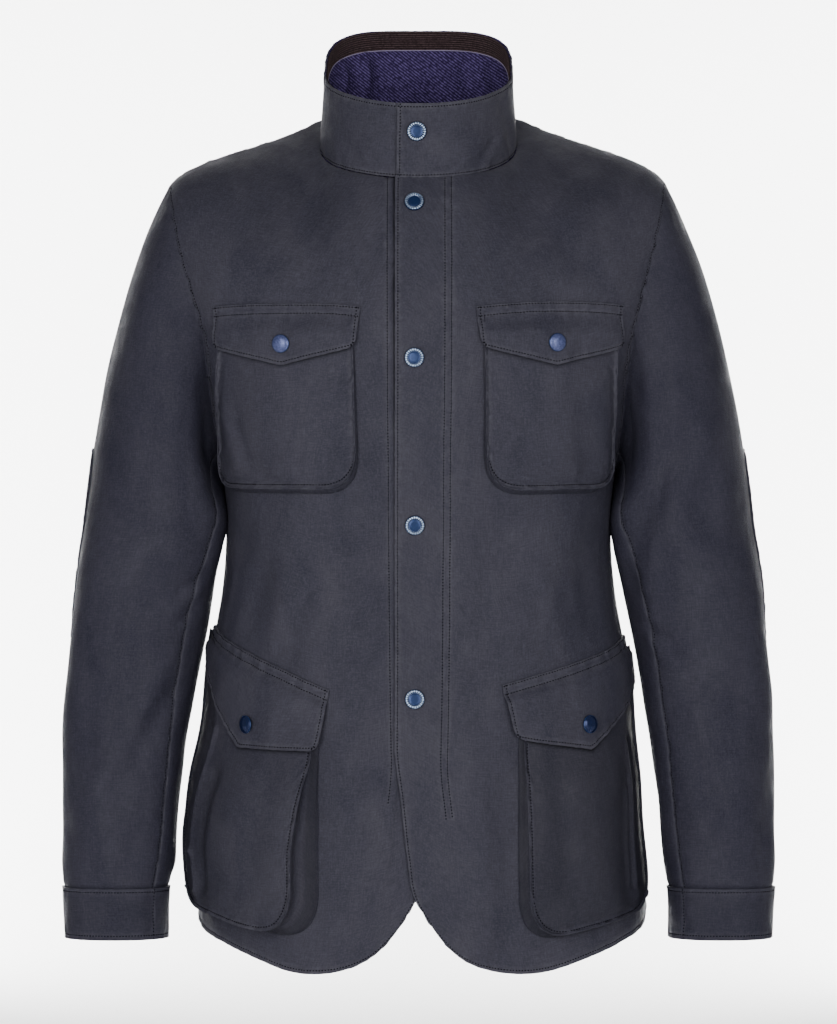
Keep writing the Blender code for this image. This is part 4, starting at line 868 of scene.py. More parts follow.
# %% Two fronts
EDGE_LINE = 0.0027
ARM_STITCHES = tuple(("right", row, -0.3, -0.031) for row in ARM_ROWS) + (("right", 0.0018, -0.026, 0.1),)
FACING_ROWS = {"left": (0.044, 0.05), "right": (0.0482,)}
FACING_ENDS = {"left": -0.59, "right": -0.576}
UNDER_LAP = 0.0418
LAP_SHADE = 0.001
LAP_PALE = 0.1
CORNER_EASE = 0.014
CUT_BACK = {"left": 0.0, "right": 0.0048}
SIDES = (("left", 1), ("right", -1))


def lap_lift(x):
    return LAP_LIFT * (1 - smooth(x, *LAP_EASE))


def cut(grid):
    """Measures what shows of a cloth, its flat width and length, and keeps neither."""
    wide, long = float(running(grid, 1).max()), float(running(grid).max())


def turned_over(grid, wear_and_shade, hand):
    """A left sheet in its place, or with hand -1 mirrored for the right side."""
    if hand < 0:
        grid, wear_and_shade = (grid * (-1, 1, 1))[:, ::-1], wear_and_shade[:, ::-1]
    return settled(grid), wear_and_shade


def put_sheet(name, grid, wear_and_shade, finishes, wall, hand=1, closed=False):
    """One sheet as its own piece. A closed one's last column repeats its first, and makes a tube."""
    cloth_mesh = new_cloth()
    grid, wear_and_shade = turned_over(grid, wear_and_shade, hand)
    lay_grid(*cloth_mesh, grid, wear_and_shade)
    if closed:
        bmesh.ops.remove_doubles(cloth_mesh[0], verts=cloth_mesh[0].verts, dist=1e-6)
    piece = add_piece(name, cloth_mesh[0], finishes, (name,))
    thicken(piece, wall)
    cut(grid)


def eased(plane):
    """Evens the squares out near the rounded corner, where the two edges run into one line."""
    points = body_point(plane[..., 0], plane[..., 1], -1)
    near = bell(np.linalg.norm(points - points[0, 0], axis=-1), CORNER_EASE)[1:-1, 1:-1, None]
    for _ in range(60):
        mean = (plane[2:, 1:-1] + plane[:-2, 1:-1] + plane[1:-1, 2:] + plane[1:-1, :-2]) / 4
        plane[1:-1, 1:-1] += (mean - plane[1:-1, 1:-1]) * near
    return plane


side_rows = PANEL_ROWS[0] + 1
neck_front = neck_line(np.linspace(-math.degrees(math.asin(LAP / NECK_WIDE)), NECK_SHOULDER, 121), -1)
neck_front[-1] = neck_corner
for side, hand in SIDES:
    drawn = spread([*CUTAWAY, (float(read(BODY, 1, SIDE_HEM)), SIDE_HEM)], 961)
    corner = int(np.argmin(np.linalg.norm(drawn - np.array(CUTAWAY[CORNER_ROW]), axis=1)))
    drawn[:, 0] += CUT_BACK[side] * smooth(-drawn[:, 1], 0.6, 0.65) * (1 - smooth(drawn[:, 0], 0.05, 0.11))
    edge_line = spread(np.concatenate([drawn[: corner + 1][::-1], [(-LAP, MIDDLE_BREAKS[0])]]), side_rows)
    left_edge = middle_edge(edge_line, neck_front[0, 1], -LAP)
    front_plane = patch(-1, left_edge, outer_edge(), spread(drawn[corner:], 121), neck_front)
    near = marks(EDGE_LINE, *(() if side == "left" else (UNDER_LAP,)), *FACING_ROWS[side])
    turn, z = np.moveaxis(cut_panel(front_plane, -1, near, 52, eased), -1, 0)
    rows = [("left", distance, FACING_ENDS[side], 0.1) for distance in FACING_ROWS[side]]
    rows += [("left", EDGE_LINE, -0.68, 0.1), ("bottom", HEM_ROW, 0.015, 0.3), *ARM_STITCHES]
    base = lap_lift(body_point(turn, z, -1)[..., 0]) * (side == "left")
    plain = body_lifted(turn, z, -1, base, hand)
    pull, wear_and_shade = sewn_in(plain, rows, ("right", "top"), 0.11 * hand)
    # the lapped strip of the left front is made paler
    wear_and_shade = wear_and_shade + LAP_PALE * base / LAP_LIFT
    # painted shadow: a dark line on the right front where the left front's edge lies over it
    if side == "right":
        wear_and_shade = wear_and_shade - bell(running(plain, 1) - UNDER_LAP, LAP_SHADE) * smooth(z, -0.66, -0.6)
    grid = body_lifted(turn, z, -1, base - pull, hand)
    put_sheet("front_" + side, grid, wear_and_shade, [cloth, lining], CLOTH, hand)
    sew("front_" + side, grid, rows, hand)

# %% [markdown]
# ## The back
#
# The back is one plain panel, wider across the shoulders than the fronts are, because arms reach forward.
# Both halves come from the same half sheet, and each half has its own folds.

# %% One back
hem_x = np.linspace(0, float(read(BODY, 1, SIDE_HEM)), 241)
hem_z = BACK_HEM + (SIDE_HEM - BACK_HEM) * (hem_x / hem_x[-1]) ** 2
hem_at = np.sin(np.linspace(0, math.pi / 2, 101)) ** (2 / FULLNESS) * hem_x[-1]
neck_back = neck_line(np.linspace(180.0, NECK_SHOULDER, 101), 1)
neck_back[-1] = neck_corner
back_low = np.column_stack([np.zeros(side_rows), np.linspace(BACK_HEM, MIDDLE_BREAKS[0], side_rows)])
hem_line = np.column_stack([hem_at, np.interp(hem_at, hem_x, hem_z)])
back_plane = patch(1, middle_edge(back_low, neck_back[0, 1], 0.0), outer_edge(), hem_line, neck_back)
turn, z = np.moveaxis(cut_panel(back_plane, 1, AT_EDGE, 58), -1, 0)
rows = [("bottom", HEM_ROW, -0.3, 0.3), *ARM_STITCHES]
halves = []
for side, hand in SIDES:
    plain = body_lifted(turn, z, 1, 0.0, hand)
    pull, wear_and_shade = sewn_in(plain, rows, ("right", "top"), 0.07 * hand)
    grid = body_lifted(turn, z, 1, -pull, hand)
    halves.append(np.concatenate([grid * (hand, 1, 1), wear_and_shade[..., None]], axis=-1))
    # Seen from behind, a half sheet's columns run the other way, so its normals need turning out.
    sew("back", grid[:, ::-1], [(dict(right="left").get(edge, edge), *rest) for edge, *rest in rows], hand)
whole = np.concatenate([halves[0][:, ::-1], halves[1][:, 1:]], axis=1)
put_sheet("back", whole[..., :3], whole[..., 3], [cloth, lining], CLOTH)

# %% [markdown]
# ## The sleeves' surface
#
# A sleeve is a leaning tube of level rings. Its head is a bridge from the armhole, which is a curve on the
# body, to the first ring. It goes on a little under the body's edge, because the body is sewn over it.
# A place on a sleeve is a share of the way round, from the outer line by the front, and a level.

# %% Measures and surface of a sleeve
#   height  outer    inner   front    back    shear
SLEEVE = (
    (-0.704, 0.314, 0.2243, -0.089, -0.004, 0.0),
    (-0.6585, 0.3165, 0.223, -0.086, 0.003, 0.0),
    (-0.637, 0.3188, 0.2193, -0.0845, 0.007, 0.0),
    (-0.61, 0.3185, 0.2161, -0.0825, 0.012, 0.0),
    (-0.583, 0.3185, 0.2136, -0.08, 0.018, 0.0),
    (-0.556, 0.3178, 0.2104, -0.0775, 0.024, 0.0),
    (-0.529, 0.3168, 0.2078, -0.075, 0.03, 0.0),
    (-0.5025, 0.316, 0.2035, -0.0725, 0.036, 0.0),
    (-0.4757, 0.3146, 0.1992, -0.07, 0.042, 0.0),
    (-0.4488, 0.3125, 0.1943, -0.069, 0.047, 0.0),
    (-0.422, 0.3094, 0.1886, -0.068, 0.051, 0.02),
    (-0.395, 0.3068, 0.1828, -0.068, 0.054, 0.04),
    (-0.368, 0.3042, 0.1781, -0.068, 0.056, 0.08),
    (-0.335, 0.2997, 0.1762, -0.068, 0.057, 0.15),
)
#   height  front_seam
SLEEVE_SEAM = (
    (-0.704, 0.388),
    (-0.5, 0.384),
    (-0.38, 0.374),
    (-0.335, 0.39),
    (-0.305, 0.44),
)
BACK_SEAM = 0.625
#   by side: height 1, share 1, height 2, share 2, width and height of each fold
SLEEVE_FOLDS = {
    "left": (
        (-0.3, 0.425, -0.354, 0.415, 0.026, 0.0045),
        (-0.23, 0.31, -0.4, 0.2, 0.026, 0.0034),
        (-0.3, 0.13, -0.48, 0.06, 0.03, 0.003),
        (-0.38, 0.64, -0.47, 0.74, 0.026, 0.0036),
        (-0.55, 0.18, -0.6, 0.26, 0.026, 0.0026),
        # the smaller ones
        (-0.306, 0.5, -0.334, 0.49, 0.016, 0.0028),
        (-0.09, 0.36, -0.3, 0.4, 0.014, -0.005),
        (-0.253, 0.217, -0.382, 0.4, 0.013, -0.0036),
        (-0.262, 0.18, -0.392, 0.35, 0.01, 0.0022),
        (-0.215, 0.262, -0.36, 0.285, 0.009, -0.0018),
        (-0.215, 0.225, -0.35, 0.255, 0.009, 0.0016),
        (-0.425, 0.38, -0.44, 0.32, 0.006, -0.0016),
        (-0.44, 0.385, -0.458, 0.335, 0.006, 0.0012),
        (-0.4, 0.12, -0.52, 0.21, 0.012, -0.0018),
        (-0.52, 0.32, -0.61, 0.23, 0.013, -0.0018),
        (-0.56, 0.07, -0.64, 0.13, 0.013, -0.0016),
        (-0.6, 0.3, -0.65, 0.21, 0.01, 0.0012),
        (-0.36, 0.56, -0.47, 0.7, 0.014, -0.0022),
        (-0.4, 0.9, -0.52, 0.8, 0.014, -0.0018),
        (-0.13, 0.62, -0.3, 0.58, 0.014, -0.003),
    ),
    "right": (
        (-0.3, 0.425, -0.354, 0.415, 0.026, 0.0045),
        (-0.2, 0.32, -0.36, 0.24, 0.028, 0.0032),
        (-0.34, 0.1, -0.52, 0.08, 0.03, 0.0034),
        (-0.4, 0.66, -0.5, 0.77, 0.028, 0.0032),
        (-0.54, 0.2, -0.6, 0.24, 0.024, 0.0028),
        # the smaller ones
        (-0.306, 0.5, -0.334, 0.49, 0.016, 0.0028),
        (-0.09, 0.37, -0.3, 0.41, 0.016, -0.006),
        (-0.484, 0.364, -0.573, 0.25, 0.012, -0.0034),
        (-0.47, 0.32, -0.56, 0.205, 0.01, 0.002),
        (-0.18, 0.27, -0.33, 0.3, 0.01, -0.0018),
        (-0.19, 0.22, -0.34, 0.2, 0.011, -0.0014),
        (-0.38, 0.385, -0.392, 0.33, 0.006, -0.0016),
        (-0.396, 0.385, -0.41, 0.325, 0.006, 0.0014),
        (-0.41, 0.385, -0.425, 0.335, 0.006, -0.0012),
        (-0.56, 0.33, -0.64, 0.28, 0.012, -0.0016),
        (-0.42, 0.13, -0.54, 0.18, 0.013, -0.0018),
        (-0.6, 0.08, -0.65, 0.2, 0.011, -0.0014),
        (-0.37, 0.57, -0.48, 0.7, 0.014, -0.0022),
        (-0.41, 0.89, -0.53, 0.8, 0.014, -0.0018),
        (-0.13, 0.62, -0.3, 0.58, 0.014, -0.003),
    ),
}
SLEEVE_ROUND = 0.38
SLEEVE_FULL = 2.25
SLEEVE_TOP = SLEEVE[-1][0]
SLEEVE_END = -0.664
CUFF_TOP = -0.6585
CUFF_BOTTOM = -0.7035
RIM_LEAN = 0.06
TUCKED_IN = 0.005
TUCKED_UNDER = 0.0032


def armhole_point(share, hand=1, inside=0.0, under=0.0):
    """A point of the armhole by its share of the way round, or one inside it and under the cloth."""
    share = np.asarray(share, float) % 1.0
    height = np.linspace(UNDERARM, TIP, 120)
    halves = []
    for face, up in ((-1, 1 - 2 * share), (1, 2 * share - 1)):
        turn = turn_of(read(ARMHOLE, 1, height) - inside, height)
        line = body_lifted(turn, height, face, -under, hand) if under else body_point(turn, height, face, hand)
        run = running(line)
        halves.append(between(up * run[-1], run, line))
    return np.where((share <= 0.5)[..., None], *halves)


def ring_point(share, z):
    angle = 2 * math.pi * np.asarray(share, float)
    outer, inner, front, back, shear = (read(SLEEVE, column, z) for column in range(1, 6))
    wide, deep = (np.sign(f) * np.abs(f) ** (2 / SLEEVE_FULL) for f in (np.cos(angle), np.sin(angle)))
    middle = (front + back) / 2
    y = middle - deep * (back - front) / 2
    x = (outer + inner) / 2 + wide * (outer - inner) / 2 + shear * (y - middle)
    lean = RIM_LEAN * smooth(-np.asarray(z, float), 0.5, 0.65)
    return np.stack([x, y, z - lean * (y - middle)], axis=-1)


def head_point(share, down, hand):
    """Down is 0 at the armhole and 1 at the first level ring. Below 0 it goes on under the body."""
    share, down = np.broadcast_arrays(np.asarray(share, float), np.asarray(down, float))
    start = armhole_point(share, hand)
    tucked = armhole_point(share, hand, TUCKED_IN, TUCKED_UNDER)
    end = ring_point(share, SLEEVE_TOP)
    reach = np.linalg.norm(end - start, axis=-1)[..., None]
    top, front = np.cos(2 * math.pi * share), np.sin(2 * math.pi * share)
    leave = unit(np.stack([0.42 + 0.04 * top, -0.2 * front, -0.88 + 0 * top], axis=-1))
    arrive = np.stack([0.06 + 0.04 * top, 0 * top, -1 + 0 * top], axis=-1)
    bridge = hermite(np.clip(down, 0, 1)[..., None], start, reach * leave, end, reach * arrive)
    return bridge + np.clip(-down, 0, 1)[..., None] * (tucked - start)


def sleeve_folds(share, z, side):
    """The folds' lift. A sleeve is round, so each fold is read the short way round from its start."""
    lift = ripple(share * SLEEVE_ROUND + (0.9 if side == "left" else 1.7), z * 0.7, BROAD_RIPPLE)
    for z1, w1, z2, w2, width, height in SLEEVE_FOLDS[side]:
        u = ((share - w1 + 0.5) % 1.0 - 0.5) * SLEEVE_ROUND
        lift = lift + creases(u, z, [(0.0, z1, (w2 - w1) * SLEEVE_ROUND, z2, width, height)])
    return lift


def sleeve_point(share, level, side, lift=0.0):
    """A point of a sleeve, given as a left one's. Level is 1 at the armhole, then 0, then heights below."""
    share, level = np.broadcast_arrays(np.asarray(share, float), np.asarray(level, float))
    head = head_point(share, np.clip(1 - level, -1, 1), 1 if side == "left" else -1)
    rest = ring_point(share, SLEEVE_TOP + np.minimum(level, 0))
    point = np.where((level > 0)[..., None], head, rest)
    angle = 2 * math.pi * share
    out = np.stack([np.cos(angle), -np.sin(angle), 0.12 * np.cos(angle)], axis=-1)
    folds = sleeve_folds(share, point[..., 2], side) * smooth(1 - level, 0.02, 0.3)
    return point + out * (folds + lift)[..., None]


print("a sleeve is", round(TIP - CUFF_BOTTOM, 3), "tall")

# %% [markdown]
# ## The sleeves
#
# Each has an upper half and a narrower under half, so it bends like an arm. The upper one is stitched along
# the front seam. The end of the tube goes in under the cuff.

# %% Four sleeve halves
HEAD_ROWS = 46
SEAM_ROW = 0.0022
SLEEVE_ROOM = 0.0015
CUFF_INSET = 0.002
HEAD_EDGE = 0.006
SLEEVE_STITCHES = {"upper": [("left", SEAM_ROW, -0.7, -0.31)], "under": []}


def front_seam(level):
    z = np.where(level > 0, SLEEVE_TOP + level * (UNDERARM - SLEEVE_TOP), SLEEVE_TOP + level)
    return read(SLEEVE_SEAM, 1, z)


def drawn_in(grid, level, middle):
    """Draws the sleeve's end in, where it goes under the cuff."""
    inset = CUFF_INSET * smooth(-(SLEEVE_TOP + level), -(CUFF_TOP + 0.003), -(CUFF_TOP - 0.0004))
    return grid + unit((middle - grid) * (1, 1, 0)) * inset[:, None, None]


levels = np.concatenate([
    np.array([SLEEVE_END, CUFF_TOP - 0.0006]) - SLEEVE_TOP,
    np.linspace(CUFF_TOP + 0.0018 - SLEEVE_TOP, 0, 112),
    np.linspace(0, 1, HEAD_ROWS)[1:],
    [1.4, 2.0],
])
seam_share = front_seam(np.minimum(levels, 1.0))
for part, start, end, near, count in (
    ("upper", seam_share, BACK_SEAM - 1 + 0 * levels, marks(SEAM_ROW), 84),
    ("under", BACK_SEAM + 0 * levels, seam_share, marks(SLEEVE_ROOM), 40),
):
    for side, hand in SIDES:
        share = start[:, None] + (end - start)[:, None] * np.linspace(0, 1, 161)[None]
        plain = sleeve_point(share, levels[:, None], side)
        share = respaced(share[..., None], plain, near, marks(SLEEVE_ROOM), count)[..., 0]
        around = sleeve_point(np.linspace(0, 1, 25)[None, :-1], levels[:, None], side)
        plain = sleeve_point(share, levels[:, None], side)
        pull, wear_and_shade = sewn_in(plain, SLEEVE_STITCHES[part], ("left", "right"), 0.05 * hand)
        away = from_edges(plain)
        from_top = np.maximum(away["top"] - HEAD_EDGE, 0.0)
        gathers = 0.0005 * wrinkle(away["left"])
        pull = pull + 0.0016 * np.exp(-from_top / 0.003) + gathers * np.exp(-from_top / 0.012)
        pull[levels > 1.0] = 0.0
        wear_and_shade = np.maximum(wear_and_shade, 0.5 * np.exp(-from_top / 0.004))
        grid = drawn_in(sleeve_point(share, levels[:, None], side, -pull), levels, around.mean(axis=1, keepdims=True))
        put_sheet(f"sleeve_{part}_{side}", grid, wear_and_shade, [shaded_arm_cloth, lining], CLOTH, hand)
        sew("sleeve_" + side, grid, SLEEVE_STITCHES[part], hand)

# %% [markdown]
# ## The cuffs
#
# A cuff is a straight band, folded double and closed at the front seam. Its two ends are the same line, so
# after the sheet is laid round, `remove_doubles` closes the tube.

# %% Two cuffs
CUFF_OUT = 0.0014
CUFF_WALL = 0.002
CUFF_DARK = -0.1
CUFF_ROWS = (0.004, 0.0032)
CUFF_STITCHES = (("top", CUFF_ROWS[1], -1, 1), ("bottom", CUFF_ROWS[0], -1, 1), ("left", SEAM_ROW, -0.71, -0.65))


def cuff_ring(plane):
    return ring_point(plane[..., 0], plane[..., 1])


cuff_seam = float(read(SLEEVE_SEAM, 1, CUFF_TOP))
cuff_run = marks(SEAM_ROW)
round_it, heights = np.linspace(cuff_seam + 1, cuff_seam, 161), np.linspace(CUFF_BOTTOM, CUFF_TOP, 61)
drawn = np.stack(np.broadcast_arrays(round_it[None], heights[:, None]), axis=-1)
plane = marked(drawn, cuff_ring, cuff_run, cuff_run, 110, marks(CUFF_ROWS[0]), marks(CUFF_ROWS[1]), 9)
ring = cuff_ring(plane)
out = unit((ring - ring[:, 1:].mean(axis=1, keepdims=True)) * (1, 1, 0))
wave = ripple(plane[..., 0] * 0.3, plane[..., 1]) * 0.6
wave = wave - (wave[:, :1] + (wave[:, -1:] - wave[:, :1]) * np.linspace(0, 1, wave.shape[1])[None])
for side, hand in SIDES:
    pull, wear_and_shade = sewn_in(ring, CUFF_STITCHES, (), 0.03 * hand)
    pull[:, -1] = pull[:, 0]
    grid = ring + out * (CUFF_OUT + wave - pull)[..., None]
    grid[:, -1] = grid[:, 0]
    # the cuffs are made darker all over
    wear_and_shade = wear_and_shade + CUFF_DARK
    put_sheet("cuff_" + side, grid, wear_and_shade, [shaded_arm_cloth, lining], CUFF_WALL, hand, closed=True)
    sew("cuff_" + side, grid, CUFF_STITCHES, hand)

# %% [markdown]
# ## The collar
#
# The stand collar rises from the neck seam and leans in a little. Its outside is waxed cotton. Inside, a
# band of corduroy runs along the top edge, because wax is sticky against the neck, and below it is plain
# twill. Both are bands between two heights, so one function lays them. A thin pale cord is caught in the
# seam between them. The ends overlap like the fronts do.

# %% Collar, corduroy, lining and cord
COLLAR_WIDE = 0.0845
COLLAR_DEPTH = 0.0715
COLLAR_FRONT = 0.0355
COLLAR_SIDE = 0.066
COLLAR_BACK = 0.111
COLLAR_LEVEL = 3.5
COLLAR_SQUARE = 2.4
COLLAR_LIFT = 0.0038
COLLAR_EASE = (20.0, 55.0)
COLLAR_END = 12.3
COLLAR_WALL = 0.0016
COLLAR_GAP = 0.0004
FACING_DEEP = 0.018
LINING_DROP = 0.006
RIBS = 9
RIB = 0.001
COLLAR_PALE = 0.1
#   degrees1 up1  degrees2 up2  width   height
COLLAR_FOLDS = (
    (50.0, 0.34, 33.0, 0.04, 0.006, -0.0026),
    (56.0, 0.36, 40.0, 0.06, 0.007, 0.0018),
    (30.0, 0.55, 18.0, 0.3, 0.008, -0.0016),
    (22.0, 0.22, 12.0, 0.12, 0.004, -0.0012),
    (-30.0, 0.75, -50.0, 0.2, 0.01, -0.002),
    (-20.0, 0.5, -34.0, 0.12, 0.008, 0.0014),
    (62.0, 0.8, 74.0, 0.15, 0.009, -0.002),
    (320.0, 0.2, 300.0, 0.6, 0.009, -0.0012),
    (110.0, 0.15, 140.0, 0.7, 0.012, -0.0014),
    (250.0, 0.15, 222.0, 0.7, 0.012, -0.0014),
    (180.0, 0.1, 186.0, 0.8, 0.014, 0.001),
)
COLLAR_END_ROW = 0.0028
COLLAR_ROWS = (0.002, 0.0032)
COLLAR_STITCHES = (
    ("top", COLLAR_ROWS[1], -1, 1),
    ("bottom", COLLAR_ROWS[0], -1, 1),
    ("left", COLLAR_END_ROW, -1, 1),
    ("right", COLLAR_END_ROW, -1, 1),
)
FOLD_SCALE = np.array((0.0014, 0.09, 0.0014, 0.09, 1.0, 1.0))


def neck_point(degrees):
    """A point of the neck seam on the body, round from the centre front by the wearer's left."""
    degrees = np.asarray(degrees, float)
    flat = degrees.ravel() % 360
    side = np.where(flat > 180, -1.0, 1.0)
    flat = np.where(flat > 180, 360 - flat, flat)
    halves = []
    for face, turn in ((-1, np.minimum(flat, NECK_SHOULDER)), (1, np.maximum(flat, NECK_SHOULDER))):
        x, z = neck_line(turn, face).T
        halves.append(body_point(turn_of(x, z), z, face, side))
    points = np.where((flat <= NECK_SHOULDER)[:, None], *halves)
    points[:, 0] *= side
    return points.reshape(degrees.shape + (3,))


def collar_top(degrees):
    angle = np.radians(degrees)
    sine, cosine = np.sin(angle), np.cos(angle)
    behind = cosine < 0
    power = np.where(behind, COLLAR_SQUARE, 2.0)
    x = COLLAR_WIDE * np.sign(sine) * np.abs(sine) ** (2 / power)
    y = OVAL_CENTRE - COLLAR_DEPTH * np.sign(cosine) * np.abs(cosine) ** (2 / power)
    level = np.clip(1 - (np.abs(x) / COLLAR_WIDE) ** COLLAR_LEVEL, 0, 1) ** (1 / COLLAR_LEVEL)
    ahead = COLLAR_SIDE - (COLLAR_SIDE - COLLAR_FRONT) * cosine
    return np.stack([x, y, np.where(behind, COLLAR_SIDE + (COLLAR_BACK - COLLAR_SIDE) * level, ahead)], axis=-1)


def collar_height(degrees):
    return np.linalg.norm(collar_top(degrees) - neck_point(degrees), axis=-1)


def collar_point(degrees, up, lift):
    """A point of the collar: up is 0 at the neck seam and 1 at the top edge. Its ends overlap."""
    degrees, up, lift = np.broadcast_arrays(np.asarray(degrees, float), up, lift)
    angle = np.radians(degrees)
    out = unit(np.stack([np.sin(angle) / COLLAR_WIDE, -np.cos(angle) / COLLAR_DEPTH, 0 * angle], axis=-1))
    u, v = degrees * FOLD_SCALE[0], up * FOLD_SCALE[1]
    folds = 0.6 * ripple(u + 3.1, v) + creases(u, v, np.array(COLLAR_FOLDS) * FOLD_SCALE)
    lift = lift + folds * smooth(up, 0.0, 0.15)
    u = up[..., None]
    return neck_point(degrees) * (1 - u) + collar_top(degrees) * u + out * lift[..., None]


def lapped(degrees, up, lift):
    return collar_point(degrees, up, COLLAR_LIFT * (1 - smooth(degrees, *COLLAR_EASE)) + lift)


def unlapped(plane):
    return collar_point(plane[..., 0], plane[..., 1], 0.0)


turns = np.linspace(-COLLAR_END, 360 + COLLAR_END, 481)
collar_high = collar_height(turns)


def collar_band(low, high, rows):
    """Degrees and shares of a band, its edges at distances over the neck seam and under the top."""
    ups = low / collar_high + (1 - (low + high) / collar_high) * np.linspace(0, 1, rows)[:, None]
    return np.stack(np.broadcast_arrays(turns[None], ups), axis=-1)


end_marks = marks(COLLAR_END_ROW)
low_marks, high_marks = (marks(row) for row in COLLAR_ROWS)
plane = marked(collar_band(0.0, 0.0, 61), unlapped, end_marks, end_marks, 190, low_marks, high_marks, 22)
degrees, up = np.moveaxis(plane, -1, 0)
pull, wear_and_shade = sewn_in(lapped(degrees, up, 0.0), COLLAR_STITCHES, ("bottom",))
grid = lapped(degrees, up, -pull)
# the collar is made a little paler all over
put_sheet("collar", grid, wear_and_shade + COLLAR_PALE, [cloth, lining], COLLAR_WALL)
sew("collar", grid, COLLAR_STITCHES)


def inner_band(name, low, high, rows, shape, finish):
    """A band inside the collar. Its shape gives its lift and its wear for each degree and row."""
    band = collar_band(low, high, rows)
    degrees, up = np.moveaxis(respaced(band, unlapped(band), AT_EDGE, AT_EDGE, 220), -1, 0)
    lift, wear_and_shade = shape(degrees, np.linspace(0, math.pi, rows)[:, None])
    grid = lapped(degrees, up, lift - INSIDE)[:, ::-1]
    put_sheet(name, grid, wear_and_shade + np.zeros(grid.shape[:2]), [finish, finish], LIGHT_CLOTH)


def ribbed(degrees, run):
    wale = np.abs(np.sin(run * RIBS)) ** 0.7
    # the wale's height, which paints a highlight on its tip
    return RIB_FOOT - RIB * wale, wale**2


def slack(degrees, run):
    """The lining hangs slack in a few folds behind, and only ever away from the collar."""
    sag = sum(height * bell(degrees - at, wide) for at, wide, height in LINING_FOLDS)
    behind = smooth(degrees, 90.0, 125.0) * (1 - smooth(degrees, 240.0, 275.0))
    return np.minimum(sag - LINING_OFF * behind, 0.0) * np.sin(run) ** 0.8, 0.0


INSIDE = COLLAR_WALL + COLLAR_GAP + LIGHT_CLOTH
RIB_FOOT = 0.0004
BAND_GAP = 0.0008
LINING_OFF = 0.003
LINING_FOLDS = (
    (236.0, 3.0, -0.004), (226.0, 4.0, 0.003), (214.0, 4.0, -0.006), (203.0, 6.0, 0.003),
    (180.0, 7.0, -0.0034), (166.0, 5.0, 0.0026), (150.0, 5.0, -0.005), (136.0, 4.0, 0.0024),
)
inner_band("collar_facing", collar_high - FACING_DEEP, BAND_GAP, 6 * RIBS + 1, ribbed, corduroy)
inner_band("neck_lining", LINING_DROP, FACING_DEEP - BAND_GAP, 40, slack, lining)

CORD = 0.0005
cord_turns = np.linspace(-8.0, 368.0, 241)
centre = lapped(cord_turns, 1 - FACING_DEEP / collar_height(cord_turns), -INSIDE - CORD * 0.6)
along = unit(np.gradient(centre, axis=0))
aside = unit(np.cross(along, (0.0, 0.0, 1.0)))
above = np.cross(aside, along)
angle = np.linspace(0, 2 * math.pi, 9)[None, :, None]
grid = settled(centre[:, None] + CORD * (np.cos(angle) * aside[:, None] + np.sin(angle) * above[:, None]))
cord_mesh = new_cloth()
bm = cord_mesh[0]
lay_grid(*cord_mesh, grid, np.zeros(grid.shape[:2]))
bmesh.ops.remove_doubles(bm, verts=bm.verts, dist=1e-6)
bmesh.ops.holes_fill(bm, edges=bm.edges)
bmesh.ops.recalc_face_normals(bm, faces=bm.faces)
add_piece("piping_cord", bm, [piping], ())
print("collar is", round(float(collar_high.max()), 3), "high at the back")

# %% [markdown]
# ## Pockets
#
# A pocket bag is a face and a gusset, the strip that lets it swell. Both are drawn on the front's cloth, as
# a distance round from the centre and a height, so they follow every fold under them. The lower pockets are
# bellows: their gusset folds inwards like a concertina. The face's edge is pinched and stitched.

# %% Measures of the pockets
#   the mouth's inner and outer end, then the foot's, each across and height
BAG_CORNERS = {
    ("chest", "left"): ((0.056, -0.15), (0.181, -0.15), (0.0575, -0.307), (0.1965, -0.306)),
    ("chest", "right"): ((0.057, -0.15), (0.181, -0.15), (0.051, -0.306), (0.212, -0.306)),
    ("lower", "left"): ((0.088, -0.488), (0.245, -0.445), (0.088, -0.6985), (0.245, -0.676)),
    ("lower", "right"): ((0.088, -0.488), (0.245, -0.43), (0.088, -0.696), (0.245, -0.673)),
}
BAG_ROUND = {"chest": 0.034, "lower": 0.0425}
CHEST_TOP = -0.15
CHEST_DEPTHS = (0.004, 0.008)
CHEST_FULL = -0.256
#   a flap's upper corners, then its lower edge's inner end, point and outer end
CHEST_FLAP = ((0.0502, -0.1435), (0.1858, -0.141), (0.0545, -0.178), (0.1195, -0.193), (0.189, -0.1765))
FLAP_LINES = {
    ("chest", "left"): CHEST_FLAP,
    ("chest", "right"): CHEST_FLAP,
    ("lower", "left"): (
        (0.0728, -0.4725), (0.245, -0.4315), (0.084, -0.5185), (0.1555, -0.5315), (0.249, -0.474),
    ),
    ("lower", "right"): (
        (0.0777, -0.477), (0.244, -0.4225), (0.087, -0.53), (0.1616, -0.529), (0.244, -0.448),
    ),
}
FLAP_ARCH = {
    ("chest", "left"): 0.0033, ("chest", "right"): 0.0033, ("lower", "left"): 0.001, ("lower", "right"): 0.0035,
}
LOWER_LEAN = {"left": 0.003, "right": 0.0135}
LEAN_HEIGHTS = (-0.535, -0.625)
LEAN_ENDS = (0.12, 0.24)
LOWER_DEPTHS = {"left": (0.0035, 0.013, 0.006), "right": (0.0035, 0.025, 0.015)}
LOWER_TURNS = (0.117, 0.245)
LOWER_SWELLS = (-0.5, -0.585)
GUSSET = 0.0035
GUSSET_WAYS = {"chest": (0.3, 1.3), "lower": (1.0, 1.0)}
FLAP_OVER = 0.0031
CHEST_SNAP = (0.119, -0.174)
LOWER_SNAP = (0.154, -0.509)
FLAP_DROP = 0.005
FLAP_GAP = 0.001

